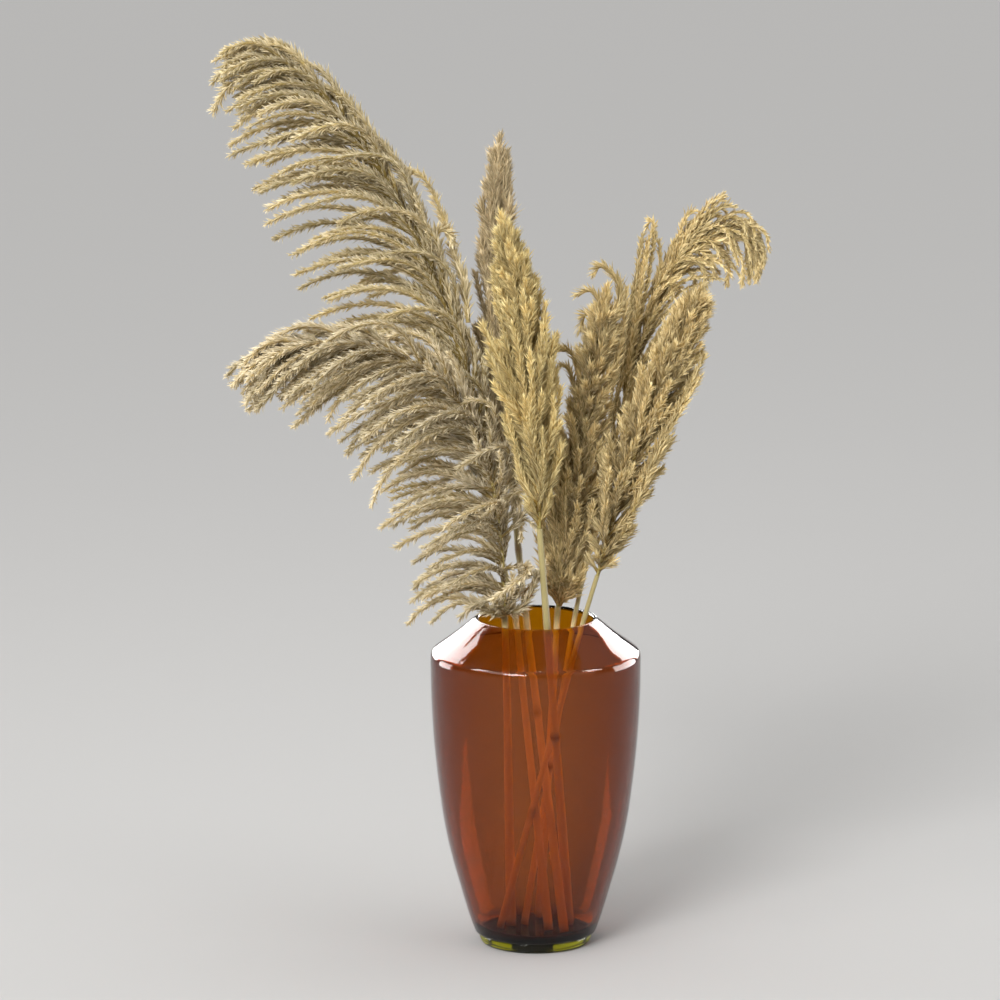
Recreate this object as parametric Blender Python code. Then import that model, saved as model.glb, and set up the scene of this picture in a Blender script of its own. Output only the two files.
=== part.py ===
"""Dried pampas grass in a turned amber glass vase.

Seven cut stalks stand in a hollow glass vase with a thick base, a cone shoulder and an open mouth.
Each stalk is a stem, and a plume of soft locks that grow from the stem's upper end and are one piece with
it from there up. Metres, +Z up. The origin is the middle of the vase's underside; -Y is the front.
"""

import math
import random
from dataclasses import dataclass

import bmesh
import bpy
from mathutils import Vector

MM = 0.001

# Vase
VASE_HEIGHT = 300.0 * MM
VASE_SIDES = 28
VASE_EDGE_ANGLE = math.radians(35.0)
WALL = 3.6 * MM
RIM_RADIUS = 55.0 * MM
SHOULDER_RADIUS = 94.8 * MM
FOOT_RADIUS = 51.0 * MM
REST_RADIUS = 48.5 * MM
FLOOR_HEIGHT = 13.0 * MM
FLOOR_RADIUS = 44.5 * MM

# The glass body between the foot and the shoulder: height and outer radius
BODY_CURVE = (
    (11.0 * MM, 55.0 * MM),
    (26.0 * MM, 60.3 * MM),
    (50.0 * MM, 67.4 * MM),
    (80.0 * MM, 75.8 * MM),
    (112.0 * MM, 82.7 * MM),
    (149.0 * MM, 88.0 * MM),
    (190.0 * MM, 92.2 * MM),
    (236.0 * MM, 94.4 * MM),
)

# The cone from the crisp shoulder up to the rim: height and outer radius
SHOULDER_CURVE = (
    (258.0 * MM, 94.8 * MM),
    (266.5 * MM, 94.6 * MM),
    (270.0 * MM, 92.4 * MM),
    (275.6 * MM, 85.2 * MM),
    (285.0 * MM, 72.8 * MM),
    (296.0 * MM, 59.2 * MM),
)

# The foot from the resting ring to the neck above it, the rim's lip, and the hollow's rounded floor
FOOT_CURVE = (
    (0.0 * MM, REST_RADIUS),
    (1.5 * MM, 50.4 * MM),
    (4.5 * MM, FOOT_RADIUS),
    (6.2 * MM, 50.0 * MM),
    (7.8 * MM, 52.7 * MM),
)
RIM_CURVE = (
    (299.0 * MM, RIM_RADIUS),
    (VASE_HEIGHT, 53.8 * MM),
    (299.0 * MM, 52.2 * MM),
)
HOLLOW_CURVE = (
    (16.5 * MM, 51.0 * MM),
    (FLOOR_HEIGHT, FLOOR_RADIUS),
)

# Points of those two curves, counted from the foot, that the inner wall follows
INNER_POINTS = (1, 3, 5, 7, 8, 10, 11, 13)

# Stalks
TOUCH_GAP = 0.3 * MM
LOCK_GAP = 0.9 * MM
STEM_SIDES = 7
STEM_EDGE_ANGLE = math.radians(50.0)
RACHIS_SIDES = 4
LOCK_SIDES = 3
STEM_STEP = 48.0 * MM
RACHIS_STEP = 38.0 * MM
TOP_LENGTH = 5.0 * MM
NODE_HALF_LENGTH = 3.0 * MM
NODE_SWELL = 1.28
SPLINE_STEPS = 200

# A plume whose base is lower than this over the rim, in millimetres, has no point of its stem at the rim
NEAR_RIM = 20.0

# A stalk's radius at its foot, at the plume's base and at the plume's tip, as shares of its middle radius
FOOT_SHARE = 1.25
BASE_SHARE = 0.76
TIP_SHARE = 0.29

# Locks
GOLDEN_ANGLE = math.pi * (3.0 - math.sqrt(5.0))
ROOT_SHARE = 0.3
FULL_AT = 0.45
FIRST_LOCK = 0.03
LAST_LOCK = 0.93
CROWDING = 0.92
LONGEST_AT = 0.45
WIDE_UNTIL = 0.4
BEND_POWER = 1.1
DROOP_GAIN = 1.3
ATTEMPTS = 14
ATTEMPT_TURN = 0.46
ATTEMPT_LOSS = 0.035

# The least and most of each lock's own length, opening and width, as shares of the usual ones, and of its
# angle round the rachis and its twist, in radians
LENGTH_RANGE = (0.86, 1.06)
OPENING_RANGE = (0.8, 1.2)
WIDTH_RANGE = (0.9, 1.1)
ANGLE_RANGE = (-0.2, 0.2)
TWIST_RANGE = (0.0, 2.0)

# How steeply the cone rises inwards, for keeping the locks off the glass
CONE_SLOPE = 0.79
CONE_ROOM = 1.3

# Two stretches whose headings differ less than this run side by side
SIDE_BY_SIDE = 1e-12

STRAW = (0.52, 0.42, 0.20)
BEIGE = (0.56, 0.47, 0.30)
TAUPE = (0.47, 0.40, 0.28)
YELLOW = (0.62, 0.50, 0.25)
AMBER = (0.55, 0.20, 0.02)


@dataclass(frozen=True)
class Stalk:
    """One stalk: its stem runs from the foot to the plume's base, and the spine goes on to the tip.

    Points are millimetres. Lock lengths are given at the base, the middle and the tip of the plume.
    """

    name: str
    foot: tuple
    rim: tuple
    spine: tuple
    stem_radius: float
    locks: int
    lengths: tuple
    lock_radius: float
    lock_points: int
    opening_low: float
    opening: float
    side_pull: float
    droop: tuple
    droop_low: tuple
    bend: float
    colour: tuple
    seed: int
    node_heights: tuple = ()
    turn: float = 1.7


STALKS = (
    Stalk(
        name="left_low",
        foot=(-22.0, 6.7),
        rim=(-27.0, -20.0),
        spine=(
            (-28, -21, 309), (-29, -27, 349), (-33, -34, 392), (-40, -42, 436), (-53, -50, 479),
            (-75, -56, 517), (-107, -62, 548), (-145, -66, 566), (-184, -70, 573), (-217, -73, 571), (-245, -75, 559),
        ),
        stem_radius=3.8,
        locks=34,
        lengths=(90, 142, 66),
        lock_radius=3.5,
        lock_points=5,
        opening_low=64.0,
        opening=34.0,
        side_pull=0.55,
        droop=(-0.62, 0.0, -0.78),
        droop_low=(-0.84, 0.0, -0.54),
        bend=1.02,
        colour=BEIGE,
        seed=11,
    ),
    Stalk(
        name="left_high",
        foot=(12.0, -12.2),
        rim=(-19.0, 20.0),
        spine=(
            (-29, 25, 343), (-39, 34, 401), (-48, 42, 454), (-61, 49, 508), (-77, 55, 562), (-98, 60, 618),
            (-123, 64, 670), (-152, 67, 717), (-185, 69, 757), (-219, 70, 787), (-251, 70, 800),
        ),
        stem_radius=3.3,
        locks=34,
        lengths=(124, 168, 56),
        lock_radius=4.2,
        lock_points=5,
        opening_low=27.0,
        opening=27.0,
        side_pull=0.5,
        droop=(-0.90, 0.0, -0.44),
        droop_low=(-0.94, 0.0, -0.34),
        bend=0.98,
        colour=BEIGE,
        seed=23,
    ),
    Stalk(
        name="centre_front",
        foot=(31.0, 10.1),
        rim=(10.0, -42.0),
        spine=(
            (3, -55, 393), (2, -63, 443), (-3, -71, 503), (-9, -78, 562), (-17, -84, 612), (-26, -88, 659),
        ),
        stem_radius=3.6,
        locks=26,
        lengths=(82, 116, 44),
        lock_radius=4.9,
        lock_points=4,
        opening_low=22.0,
        opening=22.0,
        side_pull=0.0,
        droop=(-0.20, -0.05, 0.98),
        droop_low=(0.0, 0.0, 1.0),
        bend=0.8,
        colour=YELLOW,
        seed=37,
        node_heights=(196,),
    ),
    Stalk(
        name="centre_back",
        foot=(26.0, -28.9),
        rim=(-9.5, 39.4),
        spine=(
            (-23, 62, 423), (-28, 78, 475), (-32, 92, 542), (-35, 102, 607), (-35, 110, 658), (-33, 114, 694),
        ),
        stem_radius=3.4,
        locks=20,
        lengths=(88, 100, 36),
        lock_radius=4.7,
        lock_points=4,
        opening_low=18.0,
        opening=18.0,
        side_pull=0.0,
        droop=(0.0, 0.08, 1.0),
        droop_low=(-0.12, 0.1, 1.0),
        bend=0.8,
        colour=TAUPE,
        seed=41,
        node_heights=(210, 352),
    ),
    Stalk(
        name="right_front",
        foot=(-32.0, -4.3),
        rim=(43.0, -14.0),
        spine=(
            (55, -22, 343), (70, -31, 400), (88, -41, 461), (107, -49, 517), (125, -55, 563), (137, -59, 592),
        ),
        stem_radius=2.7,
        locks=24,
        lengths=(76, 98, 40),
        lock_radius=4.6,
        lock_points=4,
        opening_low=21.0,
        opening=21.0,
        side_pull=0.0,
        droop=(0.42, -0.1, 0.9),
        droop_low=(0.42, -0.1, 0.9),
        bend=0.8,
        colour=BEIGE,
        seed=53,
        node_heights=(120,),
    ),
    Stalk(
        name="right_back",
        foot=(4.0, 36.0),
        rim=(20.0, 12.0),
        spine=(
            (20, 10, 308), (25, 6, 342), (32, -1, 390), (39, -8, 444), (47, -15, 500), (55, -20, 548), (61, -24, 577),
        ),
        stem_radius=3.5,
        locks=26,
        lengths=(78, 104, 46),
        lock_radius=4.8,
        lock_points=4,
        opening_low=21.0,
        opening=21.0,
        side_pull=0.0,
        droop=(0.05, 0.0, 1.0),
        droop_low=(0.12, 0.0, 1.0),
        bend=0.8,
        colour=BEIGE,
        seed=67,
    ),
    Stalk(
        name="right_arch",
        foot=(-10.0, 8.5),
        rim=(36.0, 16.5),
        spine=(
            (47, 26, 347), (58, 38, 395), (70, 47, 444), (82, 54, 496), (97, 59, 545), (113, 63, 588),
            (134, 66, 622), (157, 68, 642), (180, 70, 649), (198, 71, 638), (206, 71, 616),
        ),
        stem_radius=2.7,
        locks=30,
        lengths=(84, 100, 30),
        lock_radius=3.9,
        lock_points=5,
        opening_low=24.0,
        opening=24.0,
        side_pull=0.3,
        droop=(0.16, 0.0, -0.98),
        droop_low=(0.34, 0.02, 0.94),
        bend=1.4,
        colour=BEIGE,
        seed=79,
        node_heights=(160,),
        turn=1.2,
    ),
)


def clear_scene():
    """Removes what the scene starts with."""
    for thing in list(bpy.data.objects):
        bpy.data.objects.remove(thing, do_unlink=True)


def material(name, colour, roughness, metallic=0.0):
    """A plain material of one colour."""
    made = bpy.data.materials.new(name)
    made.use_nodes = True
    shader = made.node_tree.nodes["Principled BSDF"]
    shader.inputs["Base Color"].default_value = (*colour, 1.0)
    shader.inputs["Roughness"].default_value = roughness
    shader.inputs["Metallic"].default_value = metallic
    return made


def glass_material():
    """Amber glass."""
    made = material("amber_glass", AMBER, 0.03)
    shader = made.node_tree.nodes["Principled BSDF"]
    shader.inputs["Transmission Weight"].default_value = 1.0
    shader.inputs["IOR"].default_value = 1.5
    return made


def add_object(name, mesh, finish):
    """Puts a mesh in the scene under its name, with its finish."""
    made = bpy.data.objects.new(name, mesh)
    bpy.context.scene.collection.objects.link(made)
    mesh.materials.append(finish)
    return made


def spline_point(points, place):
    """The point of a smooth curve through the given points, where place runs from 0 to 1."""
    spans = len(points) - 1
    at = min(max(place, 0.0), 1.0) * spans
    span = min(int(at), spans - 1)
    u = at - span
    before = points[max(span - 1, 0)]
    start = points[span]
    end = points[span + 1]
    after = points[min(span + 2, spans)]
    return 0.5 * (
        2.0 * start
        + (end - before) * u
        + (2.0 * before - 5.0 * start + 4.0 * end - after) * u ** 2
        + (3.0 * start - before - 3.0 * end + after) * u ** 3
    )


def smooth_path(points, step):
    """Evenly spread points on a smooth curve, about one step apart."""
    fine = [spline_point(points, k / SPLINE_STEPS) for k in range(SPLINE_STEPS + 1)]
    travelled = [0.0]
    for here, there in zip(fine, fine[1:]):
        travelled.append(travelled[-1] + (there - here).length)
    count = max(2, round(travelled[-1] / step))
    path = []
    reached = 0
    for k in range(count + 1):
        goal = travelled[-1] * k / count
        while reached < SPLINE_STEPS - 1 and travelled[reached + 1] < goal:
            reached += 1
        span = travelled[reached + 1] - travelled[reached]
        share = (goal - travelled[reached]) / span if span > 0.0 else 0.0
        path.append(fine[reached].lerp(fine[reached + 1], min(share, 1.0)))
    return path


def point_on(path, place):
    """The point of a path and its heading there, where place runs from 0 to 1."""
    at = min(max(place, 0.0), 1.0) * (len(path) - 1)
    k = min(int(at), len(path) - 2)
    return path[k].lerp(path[k + 1], at - k), (path[k + 1] - path[k]).normalized()


def tangents(path):
    """The heading of a path at each of its points."""
    last = len(path) - 1
    return [(path[min(k + 1, last)] - path[max(k - 1, 0)]).normalized() for k in range(last + 1)]


def add_tube(mesh, path, radii, sides, turn=0.0):
    """Adds a closed tube along a path. A last radius of zero closes it in a point."""
    headings = tangents(path)
    headings[-1] = (path[-1] - path[-2]).normalized()
    across = headings[0].orthogonal().normalized()
    rings = []
    for point, heading, radius in zip(path, headings, radii):
        across = (across - across.dot(heading) * heading).normalized()
        beside = heading.cross(across)
        if radius == 0.0:
            rings.append([mesh.verts.new(point)])
            continue
        ring = []
        for k in range(sides):
            angle = turn + 2.0 * math.pi * k / sides
            ring.append(mesh.verts.new(point + radius * (math.cos(angle) * across + math.sin(angle) * beside)))
        rings.append(ring)
    for lower, upper in zip(rings, rings[1:]):
        for k in range(sides):
            following = (k + 1) % sides
            if len(upper) == 1:
                mesh.faces.new((lower[k], lower[following], upper[0]))
            else:
                mesh.faces.new((lower[k], lower[following], upper[following], upper[k]))
    mesh.faces.new(reversed(rings[0]))
    if len(rings[-1]) > 1:
        mesh.faces.new(rings[-1])


def finish_mesh(mesh, name):
    """Turns a bmesh into a mesh whose faces are triangles that point outwards."""
    bmesh.ops.recalc_face_normals(mesh, faces=mesh.faces)
    bmesh.ops.triangulate(mesh, faces=mesh.faces)
    made = bpy.data.meshes.new(name)
    mesh.to_mesh(made)
    mesh.free()
    return made


def vase_outline():
    """Radius and height of the outline: from the middle of the underside up the outside, over the rim, and down
    the inside to the middle of the floor."""
    outer = [(radius, height) for height, radius in BODY_CURVE + SHOULDER_CURVE]
    inner = [inset(outer, k) for k in INNER_POINTS]
    foot = [(0.0, 0.0)] + [(radius, height) for height, radius in FOOT_CURVE]
    rim = [(radius, height) for height, radius in RIM_CURVE]
    hollow = [(radius, height) for height, radius in HOLLOW_CURVE] + [(0.0, FLOOR_HEIGHT)]
    return foot + outer + rim + inner[::-1] + hollow


def inset(outer, k):
    """The point of the inner wall beside point k of the outer one, a wall's thickness inwards."""
    before = outer[k - 1]
    after = outer[min(k + 1, len(outer) - 1)]
    run = after[0] - before[0]
    rise = after[1] - before[1]
    length = math.hypot(run, rise)
    return (outer[k][0] - WALL * rise / length, outer[k][1] + WALL * run / length)


def build_vase():
    """The hollow glass vase, turned from its outline."""
    mesh = bmesh.new()
    outline = vase_outline()
    rings = []
    for radius, height in outline:
        if radius == 0.0:
            rings.append([mesh.verts.new((0.0, 0.0, height))])
            continue
        angles = [2.0 * math.pi * (k + 0.5) / VASE_SIDES for k in range(VASE_SIDES)]
        rings.append([mesh.verts.new((radius * math.cos(a), radius * math.sin(a), height)) for a in angles])
    for lower, upper in zip(rings, rings[1:]):
        for k in range(VASE_SIDES):
            following = (k + 1) % VASE_SIDES
            if len(lower) == 1:
                mesh.faces.new((lower[0], upper[following], upper[k]))
            elif len(upper) == 1:
                mesh.faces.new((lower[k], lower[following], upper[0]))
            else:
                mesh.faces.new((lower[k], lower[following], upper[following], upper[k]))
    made = add_object("glass_vase", finish_mesh(mesh, "glass_vase"), glass_material())
    made.data.shade_smooth()
    made.data.set_sharp_from_angle(angle=VASE_EDGE_ANGLE)


def stem_points(stalk):
    """Points of the stem from its foot, through the mouth, to the plume's base, in metres."""
    across = math.dist(stalk.foot, stalk.rim)
    slant = across / math.hypot(across, (VASE_HEIGHT - FLOOR_HEIGHT) / MM)
    lowest_edge = FOOT_SHARE * stalk.stem_radius * slant
    foot = Vector((*stalk.foot, (FLOOR_HEIGHT + TOUCH_GAP) / MM + lowest_edge))
    rim = Vector((*stalk.rim, VASE_HEIGHT / MM))
    base = Vector(stalk.spine[0])
    lower = [foot.lerp(rim, share) for share in (0.0, 0.25, 0.5, 0.75)]
    near_rim = [] if base.z - rim.z < NEAR_RIM else [rim]
    return [point * MM for point in lower + near_rim + [base]]


def plume_path(stalk):
    """Points of the plume's rachis from its base to its tip, in metres."""
    return smooth_path([Vector(point) * MM for point in stalk.spine], RACHIS_STEP)


def build_stem(stalk, finish):
    """A cut stem: a straight reed that swells a little at its nodes and stands on the vase's floor."""
    path = smooth_path(stem_points(stalk), STEM_STEP)
    upwards = plume_path(stalk)[1] - plume_path(stalk)[0]
    top = path.pop() - upwards.normalized() * TOUCH_GAP
    path += [top - upwards.normalized() * TOP_LENGTH, top]
    marked = []
    for height in stalk.node_heights:
        k = max(i for i, point in enumerate(path) if point.z < height * MM)
        share = (height * MM - path[k].z) / (path[k + 1].z - path[k].z)
        middle = path[k].lerp(path[k + 1], share)
        along = (path[k + 1] - path[k]).normalized() * NODE_HALF_LENGTH
        marked += [(middle - along, 1.0), (middle, NODE_SWELL), (middle + along, 1.0)]
    rings = sorted([(point, 1.0) for point in path] + marked, key=lambda ring: ring[0].z)
    low = path[0].z
    length = path[-1].z - low
    points = [ring[0] for ring in rings]
    radii = []
    for point, swell in rings:
        share = FOOT_SHARE + (BASE_SHARE - FOOT_SHARE) * (point.z - low) / length
        radii.append(stalk.stem_radius * MM * swell * share)
    mesh = bmesh.new()
    add_tube(mesh, points, radii, STEM_SIDES)
    made = add_object(f"{stalk.name}_stem", finish_mesh(mesh, f"{stalk.name}_stem"), finish)
    made.data.shade_smooth()
    made.data.set_sharp_from_angle(angle=STEM_EDGE_ANGLE)
    return capsules(points, radii)


def capsules(points, radii):
    """A path as stretches, each with its two ends and its larger radius."""
    return [(points[k], points[k + 1], max(radii[k], radii[k + 1])) for k in range(len(points) - 1)]


def stretch_distance(first, second):
    """The shortest distance between two straight stretches."""
    p, q = first
    r, s = second
    along = q - p
    across = s - r
    apart = p - r
    a = along.dot(along)
    e = across.dot(across)
    b = along.dot(across)
    c = along.dot(apart)
    f = across.dot(apart)
    spread = a * e - b * b
    near = min(max((b * f - c * e) / spread, 0.0), 1.0) if spread > SIDE_BY_SIDE else 0.0
    far = (b * near + f) / e
    if far < 0.0:
        far = 0.0
        near = min(max(-c / a, 0.0), 1.0)
    elif far > 1.0:
        far = 1.0
        near = min(max((b - c) / a, 0.0), 1.0)
    return ((p + along * near) - (r + across * far)).length


def clear_of_vase(point, radius):
    """Whether a ball stays off the glass: above the rim and the cone, or outside the shoulder."""
    reach = math.hypot(point.x, point.y)
    room = radius + LOCK_GAP
    if point.z > VASE_HEIGHT + room:
        return True
    if reach > SHOULDER_RADIUS + room:
        return True
    cone_height = VASE_HEIGHT - CONE_SLOPE * (reach - RIM_RADIUS)
    return reach > RIM_RADIUS and point.z > cone_height + CONE_ROOM * room


def clear_of_all(path, radii, others):
    """Whether a lock keeps its gap to the glass and to every other stalk."""
    if not all(clear_of_vase(point, radius) for point, radius in zip(path, radii)):
        return False
    for start, end, radius in capsules(path, radii):
        for other_start, other_end, other_radius in others:
            room = radius + other_radius + LOCK_GAP
            if stretch_distance((start, end), (other_start, other_end)) < room:
                return False
    return True


def lock_path(start, heading, droop, length, bend, points):
    """Points of one lock, which sets off along its heading and bends over towards its droop."""
    step = length / (points - 1)
    path = [start]
    for k in range(points - 1):
        share = (k + 0.5) / (points - 1)
        direction = heading.lerp(droop, min(bend * share ** BEND_POWER, 1.0)).normalized()
        path.append(path[-1] + direction * step)
    return path


def lock_radii(radius, points):
    """Radii of one lock: slim where it grows from the stalk, full past its middle, and a point at its tip."""
    radii = []
    for k in range(points - 1):
        share = k / (points - 1)
        radii.append(radius * (ROOT_SHARE + (1.0 - ROOT_SHARE) * math.sin(0.5 * math.pi * min(share / FULL_AT, 1.0))))
    return radii + [0.0]


def lock_length(lengths, place):
    """Length of a lock by its place on the plume, from the base, the middle and the tip."""
    low, middle, high = lengths
    if place < LONGEST_AT:
        return low + (middle - low) * math.sin(0.5 * math.pi * place / LONGEST_AT)
    return high + (middle - high) * math.cos(0.5 * math.pi * (place - LONGEST_AT) / (1.0 - LONGEST_AT))


def lock_droop(stalk, place):
    """The way that the locks bend to at a place on the plume."""
    low = Vector(stalk.droop_low).normalized()
    high = Vector(stalk.droop).normalized()
    return low.lerp(high, min(1.0, DROOP_GAIN * place ** stalk.turn)).normalized()


def lock_opening(stalk, place):
    """The angle in degrees between the rachis and a lock that sets off at a place on the plume."""
    return stalk.opening + (stalk.opening_low - stalk.opening) * max(0.0, 1.0 - place / WIDE_UNTIL)


def grow_locks(stalk, path, base_radius, others):
    """The locks of one plume as a mesh, and the stretches that they take up."""
    locks = bmesh.new()
    taken = []
    rng = random.Random(stalk.seed)
    for k in range(stalk.locks):
        place = FIRST_LOCK + (LAST_LOCK - FIRST_LOCK) * (k / (stalk.locks - 1)) ** CROWDING
        middle, tangent = point_on(path, place)
        thickness = base_radius * (1.0 - (1.0 - TIP_SHARE) * place)
        droop = lock_droop(stalk, place)
        sideways = droop - droop.dot(tangent) * tangent
        across = tangent.orthogonal().normalized()
        beside = tangent.cross(across)
        length = lock_length(stalk.lengths, place) * MM * rng.uniform(*LENGTH_RANGE)
        opening = math.radians(lock_opening(stalk, place) * rng.uniform(*OPENING_RANGE))
        first_angle = k * GOLDEN_ANGLE + rng.uniform(*ANGLE_RANGE)
        widths = lock_radii(stalk.lock_radius * MM * rng.uniform(*WIDTH_RANGE), stalk.lock_points)
        for attempt in range(ATTEMPTS):
            angle = first_angle + attempt * ATTEMPT_TURN * (1 if attempt % 2 else -1)
            outward = math.cos(angle) * across + math.sin(angle) * beside
            outward = (outward + stalk.side_pull * sideways).normalized()
            heading = (math.cos(opening) * tangent + math.sin(opening) * outward).normalized()
            start = middle + 0.5 * thickness * outward
            shorter = length * (1.0 - ATTEMPT_LOSS * attempt)
            lock = lock_path(start, heading, droop, shorter, stalk.bend, stalk.lock_points)
            if clear_of_all(lock, widths, others):
                add_tube(locks, lock, widths, LOCK_SIDES, turn=rng.uniform(*TWIST_RANGE))
                taken += capsules(lock, widths)
                break
    return locks, taken


def build_plume(stalk, finish, others):
    """A plume: its rachis with every lock grown from it, joined in one piece."""
    path = plume_path(stalk)
    count = len(path) - 1
    base_radius = BASE_SHARE * stalk.stem_radius * MM
    radii = [base_radius * (1.0 - (1.0 - TIP_SHARE) * k / count) for k in range(count)] + [0.0]
    rachis = bmesh.new()
    add_tube(rachis, path, radii, RACHIS_SIDES)
    locks, taken = grow_locks(stalk, path, base_radius, others)

    cutter = add_object(f"{stalk.name}_locks", finish_mesh(locks, f"{stalk.name}_locks"), finish)
    cutter.hide_render = True
    cutter.hide_viewport = True
    cutter.display_type = "WIRE"
    made = add_object(f"{stalk.name}_plume", finish_mesh(rachis, f"{stalk.name}_plume"), finish)
    union = made.modifiers.new("grown_together", "BOOLEAN")
    union.operation = "UNION"
    union.solver = "EXACT"
    union.use_self = True
    union.object = cutter
    return capsules(path, radii) + taken


def main():
    """Builds the vase, then every stem, then every plume clear of what is already there."""
    clear_scene()
    build_vase()
    straw = material("straw", STRAW, 0.6)
    solids = {}
    for stalk in STALKS:
        solids[stalk.name] = build_stem(stalk, straw)
    for stalk in STALKS:
        path = plume_path(stalk)
        solids[stalk.name] += capsules(path, [BASE_SHARE * stalk.stem_radius * MM] * len(path))
    for stalk in STALKS:
        others = [piece for name, pieces in solids.items() if name != stalk.name for piece in pieces]
        finish = material(f"{stalk.name}_fluff", stalk.colour, 0.9)
        solids[stalk.name] += build_plume(stalk, finish, others)


main()
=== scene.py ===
import logging
import math
import random
from dataclasses import dataclass
from enum import Enum
from typing import Any, Iterable, Sequence

import bpy
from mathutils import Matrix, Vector


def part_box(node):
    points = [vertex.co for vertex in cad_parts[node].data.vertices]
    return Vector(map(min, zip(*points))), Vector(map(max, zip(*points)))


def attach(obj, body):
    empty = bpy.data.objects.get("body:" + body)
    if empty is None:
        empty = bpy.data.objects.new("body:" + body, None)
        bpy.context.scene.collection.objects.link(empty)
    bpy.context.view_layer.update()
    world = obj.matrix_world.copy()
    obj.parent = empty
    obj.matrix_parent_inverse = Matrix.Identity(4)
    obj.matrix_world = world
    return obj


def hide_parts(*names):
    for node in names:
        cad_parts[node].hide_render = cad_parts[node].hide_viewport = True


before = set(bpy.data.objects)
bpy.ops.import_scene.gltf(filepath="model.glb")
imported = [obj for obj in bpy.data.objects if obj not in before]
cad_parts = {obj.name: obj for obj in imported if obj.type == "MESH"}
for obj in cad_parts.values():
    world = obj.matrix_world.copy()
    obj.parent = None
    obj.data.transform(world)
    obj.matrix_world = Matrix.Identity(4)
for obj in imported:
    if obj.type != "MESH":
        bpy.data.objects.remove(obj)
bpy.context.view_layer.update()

MM = 0.001
GOLDEN_ANGLE = math.pi * (3.0 - math.sqrt(5.0))
NOISE_DETAIL = 3.0
HAIR_WIDEST_AT = 0.56

# The vase's mouth and cone, and how high or how far out a branch is sure to keep off them
RIM_RADIUS = 55.0 * MM
CONE_SLOPE = 0.62
CLEAR_HEIGHT = 306.0 * MM
CLEAR_REACH = 101.0 * MM

log = logging.getLogger("pampas_vase")

Triple = tuple[float, float, float]
Colour = tuple[float, float, float]
Settings = dict[str, Any] | None
Inputs = dict[Any, Any] | None


# Node trees


class Nodes:
    """Adds nodes to a shader or geometry tree, one call for each node."""

    def __init__(self, tree: bpy.types.NodeTree) -> None:
        """Keeps the tree that the nodes go into."""
        self.tree = tree

    def add(self, kind: str, settings: Settings = None, inputs: Inputs = None) -> Any:
        """Adds one node.

        Args:
            kind: the node's type name.
            settings: its properties, set before its sockets. "stops" sets a colour ramp's stops.
            inputs: the values or links of its sockets, by name or number.

        Returns:
            The new node.
        """
        node = self.tree.nodes.new(kind)
        for name, value in (settings or {}).items():
            if name == "stops":
                self._set_stops(node.color_ramp, value)
            else:
                setattr(node, name, value)
        for key, value in (inputs or {}).items():
            socket = self._socket(node, key)
            if isinstance(value, Number):
                self.tree.links.new(value.socket, socket)
            elif isinstance(value, bpy.types.NodeSocket):
                self.tree.links.new(value, socket)
            else:
                socket.default_value = value
        return node

    def number(self, kind: str, settings: Settings = None, inputs: Inputs = None,
               output: Any = 0) -> "Number":
        """Adds one node and gives one of its outputs as a number for arithmetic.

        Args:
            kind: the node's type name.
            settings: its properties.
            inputs: the values or links of its sockets.
            output: the output's name or number.

        Returns:
            The output, wrapped.
        """
        return Number(self, self.add(kind, settings, inputs).outputs[output])

    @staticmethod
    def _socket(node: Any, key: Any) -> Any:
        """Finds an input by its number, or the enabled one of that name."""
        if isinstance(key, int):
            return node.inputs[key]
        return next(socket for socket in node.inputs if socket.name == key and socket.enabled)

    @staticmethod
    def _set_stops(ramp: Any, stops: Sequence[tuple[float, Colour]]) -> None:
        """Gives a colour ramp its stops, each a place and a colour."""
        while len(ramp.elements) < len(stops):
            ramp.elements.new(0.5)
        for element, (place, colour) in zip(ramp.elements, stops):
            element.position = place
            element.color = (*colour, 1.0)


class Number:
    """A number from a node's socket. Arithmetic on it adds Math nodes."""

    def __init__(self, nodes: Nodes, socket: Any) -> None:
        """Wraps one output socket."""
        self.nodes = nodes
        self.socket = socket

    def _maths(self, operation: str, first: Any, second: Any) -> "Number":
        """Adds one Math node on two values."""
        return self.nodes.number("ShaderNodeMath", {"operation": operation}, {0: first, 1: second})

    def __add__(self, other: Any) -> "Number":
        """Sum."""
        return self._maths("ADD", self, other)

    __radd__ = __add__

    def __sub__(self, other: Any) -> "Number":
        """Difference."""
        return self._maths("SUBTRACT", self, other)

    def __rsub__(self, other: Any) -> "Number":
        """Difference from a plain number."""
        return self._maths("SUBTRACT", other, self)

    def __mul__(self, other: Any) -> "Number":
        """Product."""
        return self._maths("MULTIPLY", self, other)

    __rmul__ = __mul__


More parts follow.
